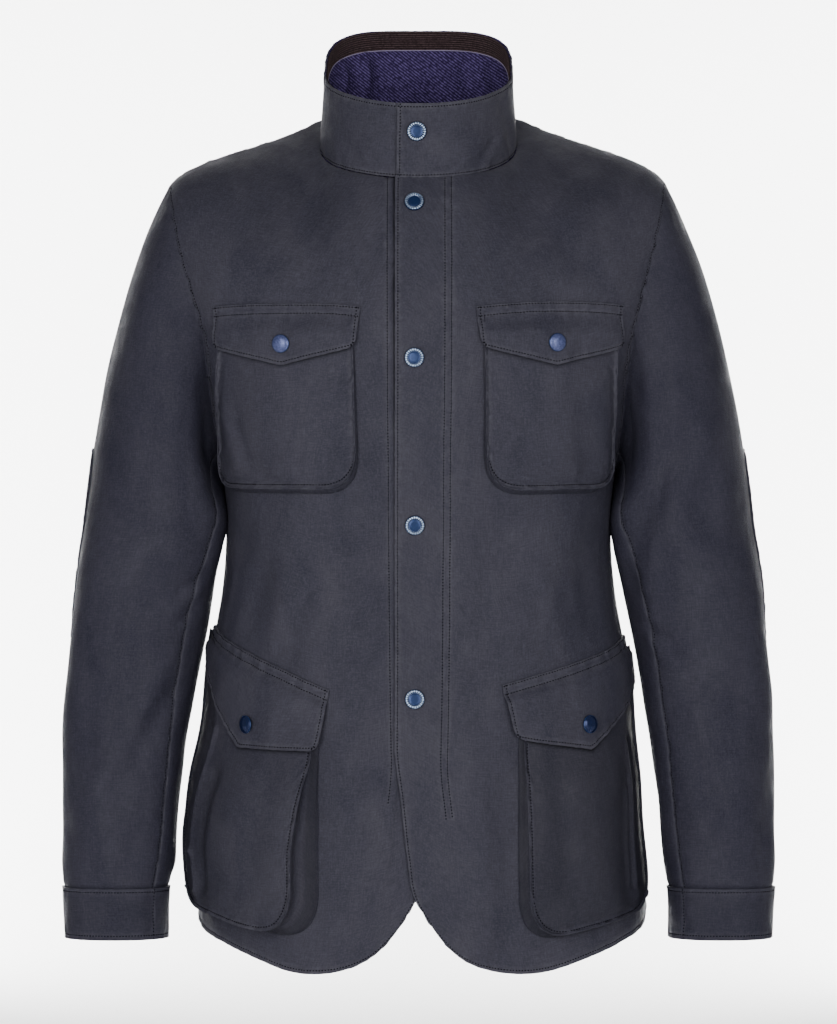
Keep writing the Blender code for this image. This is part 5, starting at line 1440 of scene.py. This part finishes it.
#   pocket  across1 z1  across2 z2  width  height: soft creases of each bag's face
BAG_FOLDS = {
    ("chest", "right"): (
        (0.182, -0.235, 0.17, -0.285, 0.009, 0.0022),
        (0.168, -0.24, 0.158, -0.28, 0.006, -0.0018),
        (0.152, -0.286, 0.138, -0.292, 0.006, -0.0024),
        (0.12, -0.2, 0.11, -0.28, 0.016, 0.0014),
        (0.085, -0.215, 0.075, -0.275, 0.012, -0.001),
    ),
    ("chest", "left"): (
        (0.165, -0.21, 0.176, -0.28, 0.012, 0.0014),
        (0.12, -0.205, 0.13, -0.285, 0.018, 0.0012),
        (0.145, -0.225, 0.152, -0.285, 0.007, -0.001),
        (0.075, -0.23, 0.09, -0.28, 0.011, -0.001),
    ),
    ("lower", "right"): (
        (0.196, -0.515, 0.2145, -0.628, 0.003, 0.0028),
        (0.2145, -0.628, 0.211, -0.665, 0.003, 0.0028),
        (0.207, -0.52, 0.226, -0.66, 0.0065, -0.003),
        (0.185, -0.56, 0.199, -0.655, 0.0085, -0.005),
        (0.15, -0.56, 0.16, -0.66, 0.02, 0.0022),
        (0.12, -0.56, 0.122, -0.64, 0.01, -0.0016),
    ),
    ("lower", "left"): (
        (0.21, -0.53, 0.212, -0.655, 0.003, 0.0018),
        (0.217, -0.53, 0.219, -0.655, 0.005, -0.0022),
        (0.199, -0.57, 0.2, -0.655, 0.003, 0.0016),
        (0.2045, -0.56, 0.206, -0.655, 0.0035, -0.002),
        (0.15, -0.56, 0.162, -0.66, 0.022, 0.0024),
        (0.188, -0.58, 0.19, -0.66, 0.012, -0.0018),
        (0.118, -0.57, 0.124, -0.65, 0.011, -0.0014),
    ),
}
print("a lower pocket's depths:", LOWER_DEPTHS)

# %% [markdown]
# A corner is rounded by a short arc, shared half and half by the two lines that meet there, so the sheet
# keeps four sides. The same rounding is used for the bags and, much smaller, for the flaps.

# %% Outlines and depths
FLAT_FINE = 401


def even_lines(points, count):
    points = np.array(points, float)
    run = running(points)
    return between(np.linspace(0, run[-1], count), run, points)


def half_arcs(before, corner, after, radius):
    """The two halves of a rounded corner, each as points from the straight line to the arc's middle."""
    before, corner, after = (np.array(place, float) for place in (before, corner, after))
    start = corner + unit(before - corner) * radius
    end = corner + unit(after - corner) * radius
    share = np.linspace(0, 1, 17)[:, None]
    arc = (1 - share) ** 2 * start + 2 * share * (1 - share) * corner + share**2 * end
    return arc[:9], arc[8:]


def outline(in_top, out_top, in_low, out_low, radius, point=None):
    """Four lines of a bag or a flap: inner and outer sides upwards, bottom and top outwards."""
    foot = point or tuple((np.array(in_low) + out_low) / 2)
    in_side, in_foot = half_arcs(in_top, in_low, foot, radius)
    out_side, out_foot = half_arcs(out_top, out_low, foot, radius)
    left = np.concatenate([in_side[::-1], [in_top]])
    right = np.concatenate([out_side[::-1], [out_top]])
    bottom = np.concatenate([in_foot, [foot] if point else np.zeros((0, 2)), out_foot[::-1]])
    return [even_lines(line, FLAT_FINE) for line in (left, right, bottom, (in_top, out_top))]


def flat_sheet(lines, rows, columns):
    share = np.linspace(0, 1, FLAT_FINE)
    counts = (rows, rows, columns, columns)
    return filled(*(between(np.linspace(0, 1, count), share, line) for count, line in zip(counts, lines)))


def flat_runs(flat):
    """The distances from a flat sheet's edges."""
    return from_edges(np.concatenate([flat, 0 * flat[..., :1]], axis=-1))


def as_drawn(flat):
    return flat


def front_cloth(across, z, lift, side):
    turn = turn_at(across, z)
    if side == "left":
        lift = lift + lap_lift(body_point(turn, z, -1)[..., 0])
    return body_lifted(turn, z, -1, lift, dict(SIDES)[side])


def bag_folds(kind, side, across, z):
    wave = ripple(across + (2.2 if side == "left" else 4.1), z * 1.05)
    return 0.8 * wave + creases(across, z, BAG_FOLDS[kind, side])


def bag_depth(kind, side, across, z):
    if kind == "chest":
        mouth, foot = CHEST_DEPTHS
        depth = mouth + (foot - mouth) * smooth(-z, -CHEST_TOP, -CHEST_FULL)
        flat = 1 - smooth(-z, -CHEST_TOP, 0.018 - CHEST_TOP)
        edge = 1 - smooth(np.minimum(across - 0.054, 0.2 - across), 0.0, 0.026)
        return depth * (1 - 0.45 * edge * smooth(z, -0.29, -0.25)) - (mouth - ON_PANEL - 0.0003) * flat
    mouth, inner, outer = LOWER_DEPTHS[side]
    foot = inner + (outer - inner) * smooth(across, *LOWER_TURNS)
    return mouth + (foot - mouth) * smooth(-z, -LOWER_SWELLS[0], -LOWER_SWELLS[1])


def bag_lean(kind, side, across, z):
    """How far a lower bag's face leans out sideways, which opens its inner gusset to view."""
    if kind == "chest":
        return 0 * across
    low, whole = LEAN_HEIGHTS
    return LOWER_LEAN[side] * smooth(-z, -low, -whole) * (1 - smooth(across, *LEAN_ENDS))


def below_flap(kind, side, flat):
    """How far a place of a bag's face is from the lower edge of the flap over it."""
    in_low, point, out_low = (np.array(place) for place in FLAP_LINES[kind, side][2:])
    near = np.full(flat.shape[:2], 1.0)
    for start, end in ((in_low, point), (point, out_low)):
        way = end - start
        share = np.clip(((flat - start) @ way) / (way @ way), 0.0, 1.0)
        near = np.minimum(near, np.linalg.norm(flat - start - share[..., None] * way + (0.0, FLAP_GAP), axis=-1))
    return near


bag_outlines = {key: outline(*corners, BAG_ROUND[key[0]]) for key, corners in BAG_CORNERS.items()}
print("bag outlines:", len(bag_outlines))

# %% [markdown]
# Each bag is two sheets in one mesh: the face, and the gusset laid along the face's U-shaped rim, from the
# sewn line on the front out to the pinched edge. `remove_doubles` joins them where they share points.

# %% Four bags
EDGE_ROW = 0.0029
GUSSET_ROWS = 17
GUSSET_FOLD = {"chest": 0.0012, "lower": 0.0045}
GUSSET_LIFT = 0.0012
# painted shade on the gusset, from the sewn line out to the pinched edge
GUSSET_SHADE = {"chest": 0.35, "lower": 0.48}
GUSSET_PLACES = (0.0, 0.05, 0.32, 0.42, 0.72, 0.82, 0.95, 1.0)
GUSSET_SHADES = (0.2, 1.0, 1.0, 0.3, 0.2, 0.9, 0.9, 0.0)
OUTER_SHADE = 0.5
PINCHES = ((0.0012, 0.0, 0.0024), (-GROOVE, EDGE_ROW, BESIDE), (-0.0011, 0.006, 0.0035))
# the fold that turns a lower bag round the body, as heights and distances across
SHADE_LINES = {
    "right": ((-0.665, -0.628, -0.515), (0.2125, 0.216, 0.1985)),
    "left": ((-0.665, -0.53), (0.213, 0.212)),
}
# painted shade all over each lower bag, more on the wearer's left one
BAG_SHADE = {"left": 0.32, "right": 0.1}


def side_shade(kind, side, across, z):
    """How much painted shade a lower bag gets: past that fold, in the valley before it, and a little all over."""
    if kind == "chest":
        return 0 * across
    past = across - np.interp(z, *SHADE_LINES[side])
    valley = bell(past + 0.02, 0.0085) * smooth(-z, 0.53, 0.57)
    return 0.42 * smooth(past, 0.0, 0.006) + 0.3 * valley + BAG_SHADE[side]


def bag_at(kind, side, flat, inset, share, extra=0.0):
    """Points of a bag: moved in from its outline by inset, and out by a share of its depth."""
    left, right, bottom, top = bag_outlines[kind, side]
    wide = right[-1][0] - left[-1][0]
    tall = top[0][1] - bottom[:, 1].min()
    middle = np.array([(right[-1][0] + left[-1][0]) / 2, top[0][1]])
    inset = np.asarray(inset) + 0 * flat[..., 0]
    aside, down = GUSSET_WAYS[kind]
    moved = (flat - middle) * np.stack([1 - 2 * aside * inset / wide, 1 - down * inset / tall], axis=-1) + middle
    across, z = np.moveaxis(moved, -1, 0)
    across = across + bag_lean(kind, side, across, z) * share
    depth = bag_depth(kind, side, across, z) - ON_PANEL
    return front_cloth(across, z, ON_PANEL + depth * share + extra, side)


def rim_of(sheet):
    """A sheet's U-shaped edge: down its inner side, along its foot and up its outer side."""
    return np.concatenate([sheet[::-1, 0], sheet[0, 1:], sheet[1:, -1]])


edge = marks(EDGE_ROW)
share = np.linspace(0, 1, GUSSET_ROWS)
for kind, rows, columns in (("chest", 66, 44), ("lower", 92, 76)):
    for side, hand in SIDES:
        flat = flat_sheet(bag_outlines[kind, side], 161, 161)
        flat = marked(flat, as_drawn, edge, edge, columns, edge, AT_EDGE, rows)
        rim = rim_of(flat)
        across, z = np.moveaxis(flat, -1, 0)
        away = flat_runs(flat)
        rim_away = np.minimum(np.minimum(away["left"], away["right"]), away["bottom"])
        lift = bag_folds(kind, side, across, z) * smooth(rim_away, 0.0, 0.012)
        lift = lift + sum(height * bell(rim_away - place, wide) for height, place, wide in PINCHES)
        puckers = 0.00035 * wrinkle(away["bottom"] + away["left"] + 0.2 * hand)
        lift = lift + puckers * bell(rim_away - EDGE_ROW, 0.007) * smooth(rim_away, 0.0, 0.002)
        face = bag_at(kind, side, flat, GUSSET, 1.0, lift)
        folds = np.sin(math.pi * share) ** 2 * GUSSET_FOLD[kind]
        gusset = np.stack([
            bag_at(kind, side, rim, GUSSET * smooth(s, 0.0, 1.0) + fold, s, GUSSET_LIFT * smooth(s, 0.6, 1.0))
            for s, fold in zip(share, folds)
        ])
        gusset[-1] = rim_of(face)
        wear_and_shade = np.maximum(0.5 * np.exp(-rim_away / 0.0012), 0.5 * bell(rim_away - EDGE_ROW, 0.0018))
        # painted shadow: a dark line on the bag's face just under the flap's lower edge, and painted shade from
        # side_shade
        wear_and_shade = wear_and_shade - 0.9 * bell(below_flap(kind, side, flat), 0.0022) - side_shade(kind, side, across, z)
        shade = GUSSET_SHADE[kind] * np.interp(share, GUSSET_PLACES, GUSSET_SHADES)[:, None]
        # painted shade: the gusset's outer side is dark all the way out, the rest follows GUSSET_SHADES
        outer = smooth(rim[:, 0], 0.19, 0.215)[None]
        rim_shade = -((1 - outer) * shade + OUTER_SHADE * outer * (share < 0.99)[:, None])
        bag_mesh = new_cloth()
        for sheet in ((face, wear_and_shade), (gusset, rim_shade)):
            lay_grid(*bag_mesh, *turned_over(*sheet, hand))
        bmesh.ops.remove_doubles(bag_mesh[0], verts=bag_mesh[0].verts, dist=2e-6)
        name = f"{kind}_pocket_{side}"
        piece = add_piece(name, bag_mesh[0], [cloth, cloth], (name,))
        thicken(piece, LIGHT_CLOTH)
        deep = float(running(gusset)[-1].max())
        wide = float(running(face, 1).max()) + 2 * deep
        long = float(running(face).max()) + deep
        line, over = (bag_at(kind, side, rim, GUSSET + EDGE_ROW, 1.0, extra) for extra in (0.0, 0.001))
        ways = unit(over - line)
        sunk = bag_folds(kind, side, *rim.T) * smooth(EDGE_ROW, 0.0, 0.012) - 0.0003
        keep_path("pockets_" + side, line + ways * sunk[:, None], ways, hand)

# %% [markdown]
# A flap is sewn down along its top, with two rows of stitches, and lies over the pocket's mouth. Its foot
# comes to a blunt point, where the snap holds it. The row of stitches round it keeps its edge flat, and the
# cloth between the rows stays a little fuller.

# %% Four flaps
FLAP_EDGE = 0.003
FLAP_TOPS = (0.0016, 0.009)
FLAP_WALL = 0.0016
FLAP_ROUND = 0.0085
FLAP_STITCHES = (
    *(("top", row, -1, 1) for row in FLAP_TOPS),
    *((edge, FLAP_EDGE, -1, 1) for edge in ("left", "right", "bottom")),
)
FLAP_RISES = {"chest": (0.0082, 0.024), "lower": (0.0088, 0.017)}
FLAP_FOLDS = {
    ("chest", "left"): ((0.075, -0.16, 0.11, -0.15, 0.006, -0.0008), (0.15, -0.165, 0.172, -0.154, 0.007, 0.0008)),
    ("chest", "right"): ((0.08, -0.152, 0.105, -0.163, 0.006, 0.0008), (0.16, -0.152, 0.15, -0.17, 0.006, -0.0008)),
    ("lower", "left"): ((0.134, -0.478, 0.156, -0.47, 0.005, -0.0016), (0.14, -0.486, 0.164, -0.478, 0.006, 0.001)),
    ("lower", "right"): ((0.205, -0.47, 0.215, -0.5, 0.008, -0.0014), (0.11, -0.49, 0.13, -0.505, 0.008, 0.001)),
}
SEWN_ON = ON_PANEL + LIGHT_CLOTH
edge, top_marks = marks(FLAP_EDGE), marks(*FLAP_TOPS)
up, over = np.linspace(0, 1, 121)[:, None], np.linspace(0, 1, 161)[None]
for kind, columns in (("chest", 46), ("lower", 58)):
    for side, hand in SIDES:
        in_top, out_top, in_low, point, out_low = FLAP_LINES[kind, side]
        flat = flat_sheet(outline(in_top, out_top, in_low, out_low, FLAP_ROUND, point), 121, 161)
        flat[..., 1] += FLAP_ARCH[kind, side] * 4 * over * (1 - over) * up
        if kind == "lower":
            flat[..., 1] -= FLAP_DROP * smooth(flat[..., 0], 0.226, 0.243) * up
        flat = marked(flat, as_drawn, edge, edge, columns, edge, top_marks, 12)
        across, z = np.moveaxis(flat, -1, 0)
        down = flat_runs(flat)["top"]
        base = bag_depth(kind, side, across, z) + FLAP_OVER - SEWN_ON
        base = SEWN_ON + base * smooth(down, *FLAP_RISES[kind])
        full = 0.5 * ripple(across + 5.0 * hand, z) + creases(across, z, FLAP_FOLDS[kind, side])
        base = base + full * smooth(down, 0.004, 0.016)
        pull, wear_and_shade = sewn_in(front_cloth(across, z, base, side), FLAP_STITCHES, (), 0.09 * hand)
        grid = front_cloth(across, z, base - pull, side)
        put_sheet(f"{kind}_flap_{side}", grid, wear_and_shade, [cloth, cloth], FLAP_WALL, hand)
        sew("pockets_" + side, grid, FLAP_STITCHES, hand)

# %% [markdown]
# ## Snaps
#
# A snap's cap is a turned shape, so it is drawn as a half profile and spun once round. The ring snaps have a
# silver rim with small notches round a blue disc. The notches come from the rim's faces themselves: every
# other one is inset on its own and pushed down. The flaps' snaps are plain speckled domes.

# %% Snap caps
SNAP_HEIGHTS = (-0.053, -0.1875, -0.333, -0.4845)
SNAP_ACROSS = -0.003
COLLAR_SNAP_UP = 0.62
COLLAR_SNAP_TURN = -1.0
SNAP_ON_FLAP = 0.0014
SNAP_SUNK = 0.0006
RING_PROFILE = (
    (0.0, 0.0017), (0.003, 0.00172), (0.005, 0.0016), (0.0054, 0.00135), (0.0057, 0.0017),
    (0.0061, 0.00245), (0.0066, 0.0027), (0.0076, 0.00258), (0.0083, 0.0019), (0.0087, 0.0009),
    (0.0087, 0.0002), (0.008, 0.0), (0.0, 0.0),
)
DOME_PROFILE = (
    (0.0, 0.0031), (0.0022, 0.00305), (0.0042, 0.00275), (0.0058, 0.0022), (0.0069, 0.00155),
    (0.0074, 0.0011), (0.0078, 0.00105), (0.008, 0.0006), (0.0079, 0.0), (0.0, 0.0),
)
RING_SIDES = 44
RING_INSIDE = 0.0055
RING_TOP = (0.0066, 0.0076)
RING_EDGE = 0.0083
DOME_RIM = 0.0074
TURNED_SNAP = math.radians(-13.0)


def notch_ring(bm):
    """Presses every other face of the ring's top in, and darkens it, the edge and the disc's back."""
    dark, top = [], []
    for face in bm.faces:
        middle = face.calc_center_median()
        out, turn = middle.xy.length, math.atan2(middle.y, middle.x) / (2 * math.pi) * RING_SIDES
        odd = int(turn + RING_SIDES) % 2 == 0
        if out > RING_EDGE or middle.z < 0.001 or (odd and out > RING_INSIDE):
            dark.append(face)
        if RING_TOP[0] < out < RING_TOP[1] and middle.z > 0.002 and odd:
            top.append(face)
    bmesh.ops.inset_individual(bm, faces=top, thickness=0.0001, depth=-0.00035)
    for face in dark + top:
        face.material_index = 0


def put_snap(name, place, out, profile, finishes, notched):
    bm = bmesh.new()
    line = [bm.verts.new((radius, 0, height)) for radius, height in profile]
    edges = [bm.edges.new(pair) for pair in zip(line, line[1:])]
    around = dict(axis=(0, 0, 1), cent=(0, 0, 0), angle=2 * math.pi, steps=RING_SIDES)
    bmesh.ops.spin(bm, geom=line + edges, use_merge=True, **around)
    bmesh.ops.remove_doubles(bm, verts=bm.verts, dist=1e-6)
    bmesh.ops.recalc_face_normals(bm, faces=bm.faces)
    for face in bm.faces:
        past = face.calc_center_median().xy.length > (RING_INSIDE if notched else DOME_RIM)
        face.material_index = int(past)
    if notched:
        notch_ring(bm)
    turn = Vector((0, 0, 1)).rotation_difference(Vector(out)).to_matrix().to_4x4()
    bmesh.ops.transform(bm, matrix=Matrix.Translation(Vector(place)) @ turn, verts=bm.verts)
    add_piece(name, bm, finishes, (name,))


def on_front(across, z, lift, side):
    """A place on the front's cloth, and the way out of it, for the given side of the jacket."""
    low, high = (front_cloth(across, z, off, side) * (dict(SIDES)[side], 1, 1) for off in (0.0, lift))
    return settled(high), unit(high - low)


for index, height in enumerate(SNAP_HEIGHTS):
    place, out = on_front(SNAP_ACROSS, height, 0.0005, "left")
    put_snap(f"snap_front_{index + 1}", place, out, RING_PROFILE, [enamel, silver], True)
low, high = (collar_point(COLLAR_SNAP_TURN, COLLAR_SNAP_UP, COLLAR_LIFT + lift) for lift in (0.0, SNAP_SUNK))
put_snap("snap_collar", high, unit(high - low), RING_PROFILE, [enamel, silver], True)
for side, hand in SIDES:
    for kind, (across, height), top in (("chest", CHEST_SNAP, dome_paint), ("lower", LOWER_SNAP, gloss)):
        lift = float(bag_depth(kind, side, across, height)) + FLAP_OVER + SNAP_ON_FLAP - SNAP_SUNK
        place, out = on_front(across, height, lift, side)
        if (kind, side) == ("lower", "right"):
            place, out = place + SNAP_SUNK * out, Matrix.Rotation(TURNED_SNAP, 3, "Z") @ Vector(out)
        put_snap(f"snap_{kind}_{side}", place, out, DOME_PROFILE, [top, enamel], False)
print("snaps:", sum(name.startswith("snap") for name in made))

# %% [markdown]
# ## Elbow patches
#
# A rounded patch lies over each elbow, sewn all round. It is drawn on the sleeve's surface and stands off
# it by its own thickness.

# %% Two elbow patches
PATCH_TURNS = (-0.235, 0.013)
PATCH_LEVELS = (-0.12, 0.215)
PATCH_SQUARE = 5.0
PATCH_LIFT = 0.0003 + LIGHT_CLOTH
PATCH_WALL = 0.0006 + LIGHT_CLOTH
PATCH_ROW = 0.0026
PATCH_STITCHES = (("left", PATCH_ROW, -1, 1), ("right", PATCH_ROW, -1, 1))
v = np.sin(np.linspace(-1.42, 1.42, 96))
half = (PATCH_TURNS[1] - PATCH_TURNS[0]) / 2 * (1 - np.abs(v) ** PATCH_SQUARE) ** (1 / PATCH_SQUARE)
patch_levels = (sum(PATCH_LEVELS) / 2 + v * (PATCH_LEVELS[1] - PATCH_LEVELS[0]) / 2)[:, None]
drawn = sum(PATCH_TURNS) / 2 + half[:, None] * np.linspace(1, -1, 121)[None]
edge = marks(PATCH_ROW)
for side, hand in SIDES:
    share = respaced(drawn[..., None], sleeve_point(drawn, patch_levels, side), edge, edge, 34)[..., 0]
    plain = sleeve_point(share, patch_levels, side, PATCH_LIFT)
    pull, wear_and_shade = sewn_in(plain, PATCH_STITCHES, (), 0.04 * hand)
    grid = sleeve_point(share, patch_levels, side, PATCH_LIFT - pull * 0.6)
    put_sheet(f"elbow_patch_{side}", grid, wear_and_shade, [shaded_arm_cloth, shaded_arm_cloth], PATCH_WALL, hand)
    sew("sleeve_" + side, grid, PATCH_STITCHES, hand)

# %% [markdown]
# ## The stitches
#
# Every line kept so far becomes beads of thread, one piece for each part of the jacket. A bead is made with
# `create_icosphere`, and a matrix squeezes it and lays it along its line. The thread's near black colour is
# painted shade of the needle holes.

# %% Beads of thread
SUNK_THREAD = 0.4
for group, paths in stitch_paths.items():
    bm = bmesh.new()
    for path, ways in paths:
        run = running(path)
        total = max(int(run[-1] / STITCH), 1)
        at = (np.arange(total) + 0.5) * run[-1] / total
        spots, outs, ahead = between(at, run, path), between(at, run, ways), between(at + STITCH / 5, run, path)
        for spot, out, step in zip(spots, outs, ahead - spots):
            along = Vector(step).normalized()
            side = Vector(out).cross(along).normalized()
            out = along.cross(side)
            turn = Matrix((along, side, out)).transposed().to_4x4()
            place = Matrix.Translation(Vector(spot) + out * THREAD[2] * SUNK_THREAD)
            size = Matrix.Diagonal((*THREAD, 1.0))
            bmesh.ops.create_icosphere(bm, subdivisions=1, radius=1.0, matrix=place @ turn @ size)
    piece = add_piece("stitches_" + group, bm, [hole_shadow_thread], ())
    print(piece.name, len(piece.data.vertices) // 12)

# %% [markdown]
# ## The studio
#
# A white floor that curves up behind the jacket leaves no horizon. Its back face is see-through, so that a
# view from behind isn't blocked. Two wide soft lights stand in front, a little over the camera, so what
# faces the camera is brightest and the sides fall away darker. Two more stand behind, turned away from the
# jacket, and light only the paper.

# %% Floor, lights and camera
def stand(title, data):
    """Puts a thing of the studio, which is no part of the jacket, in the scene."""
    thing = bpy.data.objects.new(title, data)
    bpy.context.scene.collection.objects.link(thing)
    return thing


stage_bm = bmesh.new()
bmesh.ops.create_grid(stage_bm, x_segments=1, y_segments=60, size=4.0)
for vert in stage_bm.verts:
    along = (vert.co.y + 4.0) / 8.0
    flat = min(along / 0.45, 1.0)
    turn = max(min((along - 0.45) / 0.25, 1.0), 0.0) * math.pi / 2
    rise = max((along - 0.7) / 0.3, 0.0)
    vert.co.y = -3.0 + 4.6 * flat + 1.2 * math.sin(turn)
    vert.co.z = -0.95 + 1.2 * (1 - math.cos(turn)) + 3.5 * rise
stage_mesh = bpy.data.meshes.new("backdrop")
stage_bm.to_mesh(stage_mesh)
stage_bm.free()
stage_mesh.shade_smooth()
paper = Finish("White paper", (0.94, 0.94, 0.94), 0.9)
shaders = {0: paper.add("NewGeometry")["Backfacing"], 1: paper.shader.outputs[0], 2: paper.add("BsdfTransparent")[0]}
paper.set(paper.nodes["Material Output"], {"Surface": paper.add("MixShader", shaders)[0]})
stage_mesh.materials.append(paper.material)
stand("backdrop", stage_mesh)

LIGHTS = (
    ("left softbox", (-1.25, -3.3, 0.15), (0.0, 0.0, -0.3), (1.5, 2.0), 74.0),
    ("right softbox", (1.35, -3.2, 0.1), (0.0, 0.0, -0.3), (1.5, 2.0), 54.0),
    ("left paper light", (-1.2, 1.35, -0.2), (-0.2, 2.8, -0.3), (0.6, 1.8), 170.0),
    ("right paper light", (1.2, 1.35, -0.2), (0.2, 2.8, -0.3), (0.6, 1.8), 170.0),
)
for title, place, target, size, power in LIGHTS:
    light = bpy.data.lights.new(title, "AREA")
    light.shape = "RECTANGLE"
    light.size, light.size_y = size
    light.energy = power
    lamp = stand(title, light)
    lamp.location = place
    lamp.rotation_euler = (Vector(target) - Vector(place)).to_track_quat("-Z", "Y").to_euler()

world = bpy.data.worlds.new("Pale world")
world.use_nodes = True
world.node_tree.nodes["Background"].inputs["Color"].default_value = (1.0, 1.0, 1.0, 1.0)
world.node_tree.nodes["Background"].inputs["Strength"].default_value = 0.3
bpy.context.scene.world = world

LENS = 140.625
CAMERA_TILT = math.atan(140 / 4000)
lens = bpy.data.cameras.new("camera")
lens.lens = LENS
lens.sensor_width = 36.0
lens.sensor_fit = "AUTO"
camera = stand("camera", lens)
camera.location = (0.0, -3.6, -0.2)
camera.rotation_euler = (math.radians(90.0) - CAMERA_TILT, 0.0, 0.0)
bpy.context.scene.camera = camera
print("camera at", tuple(camera.location))
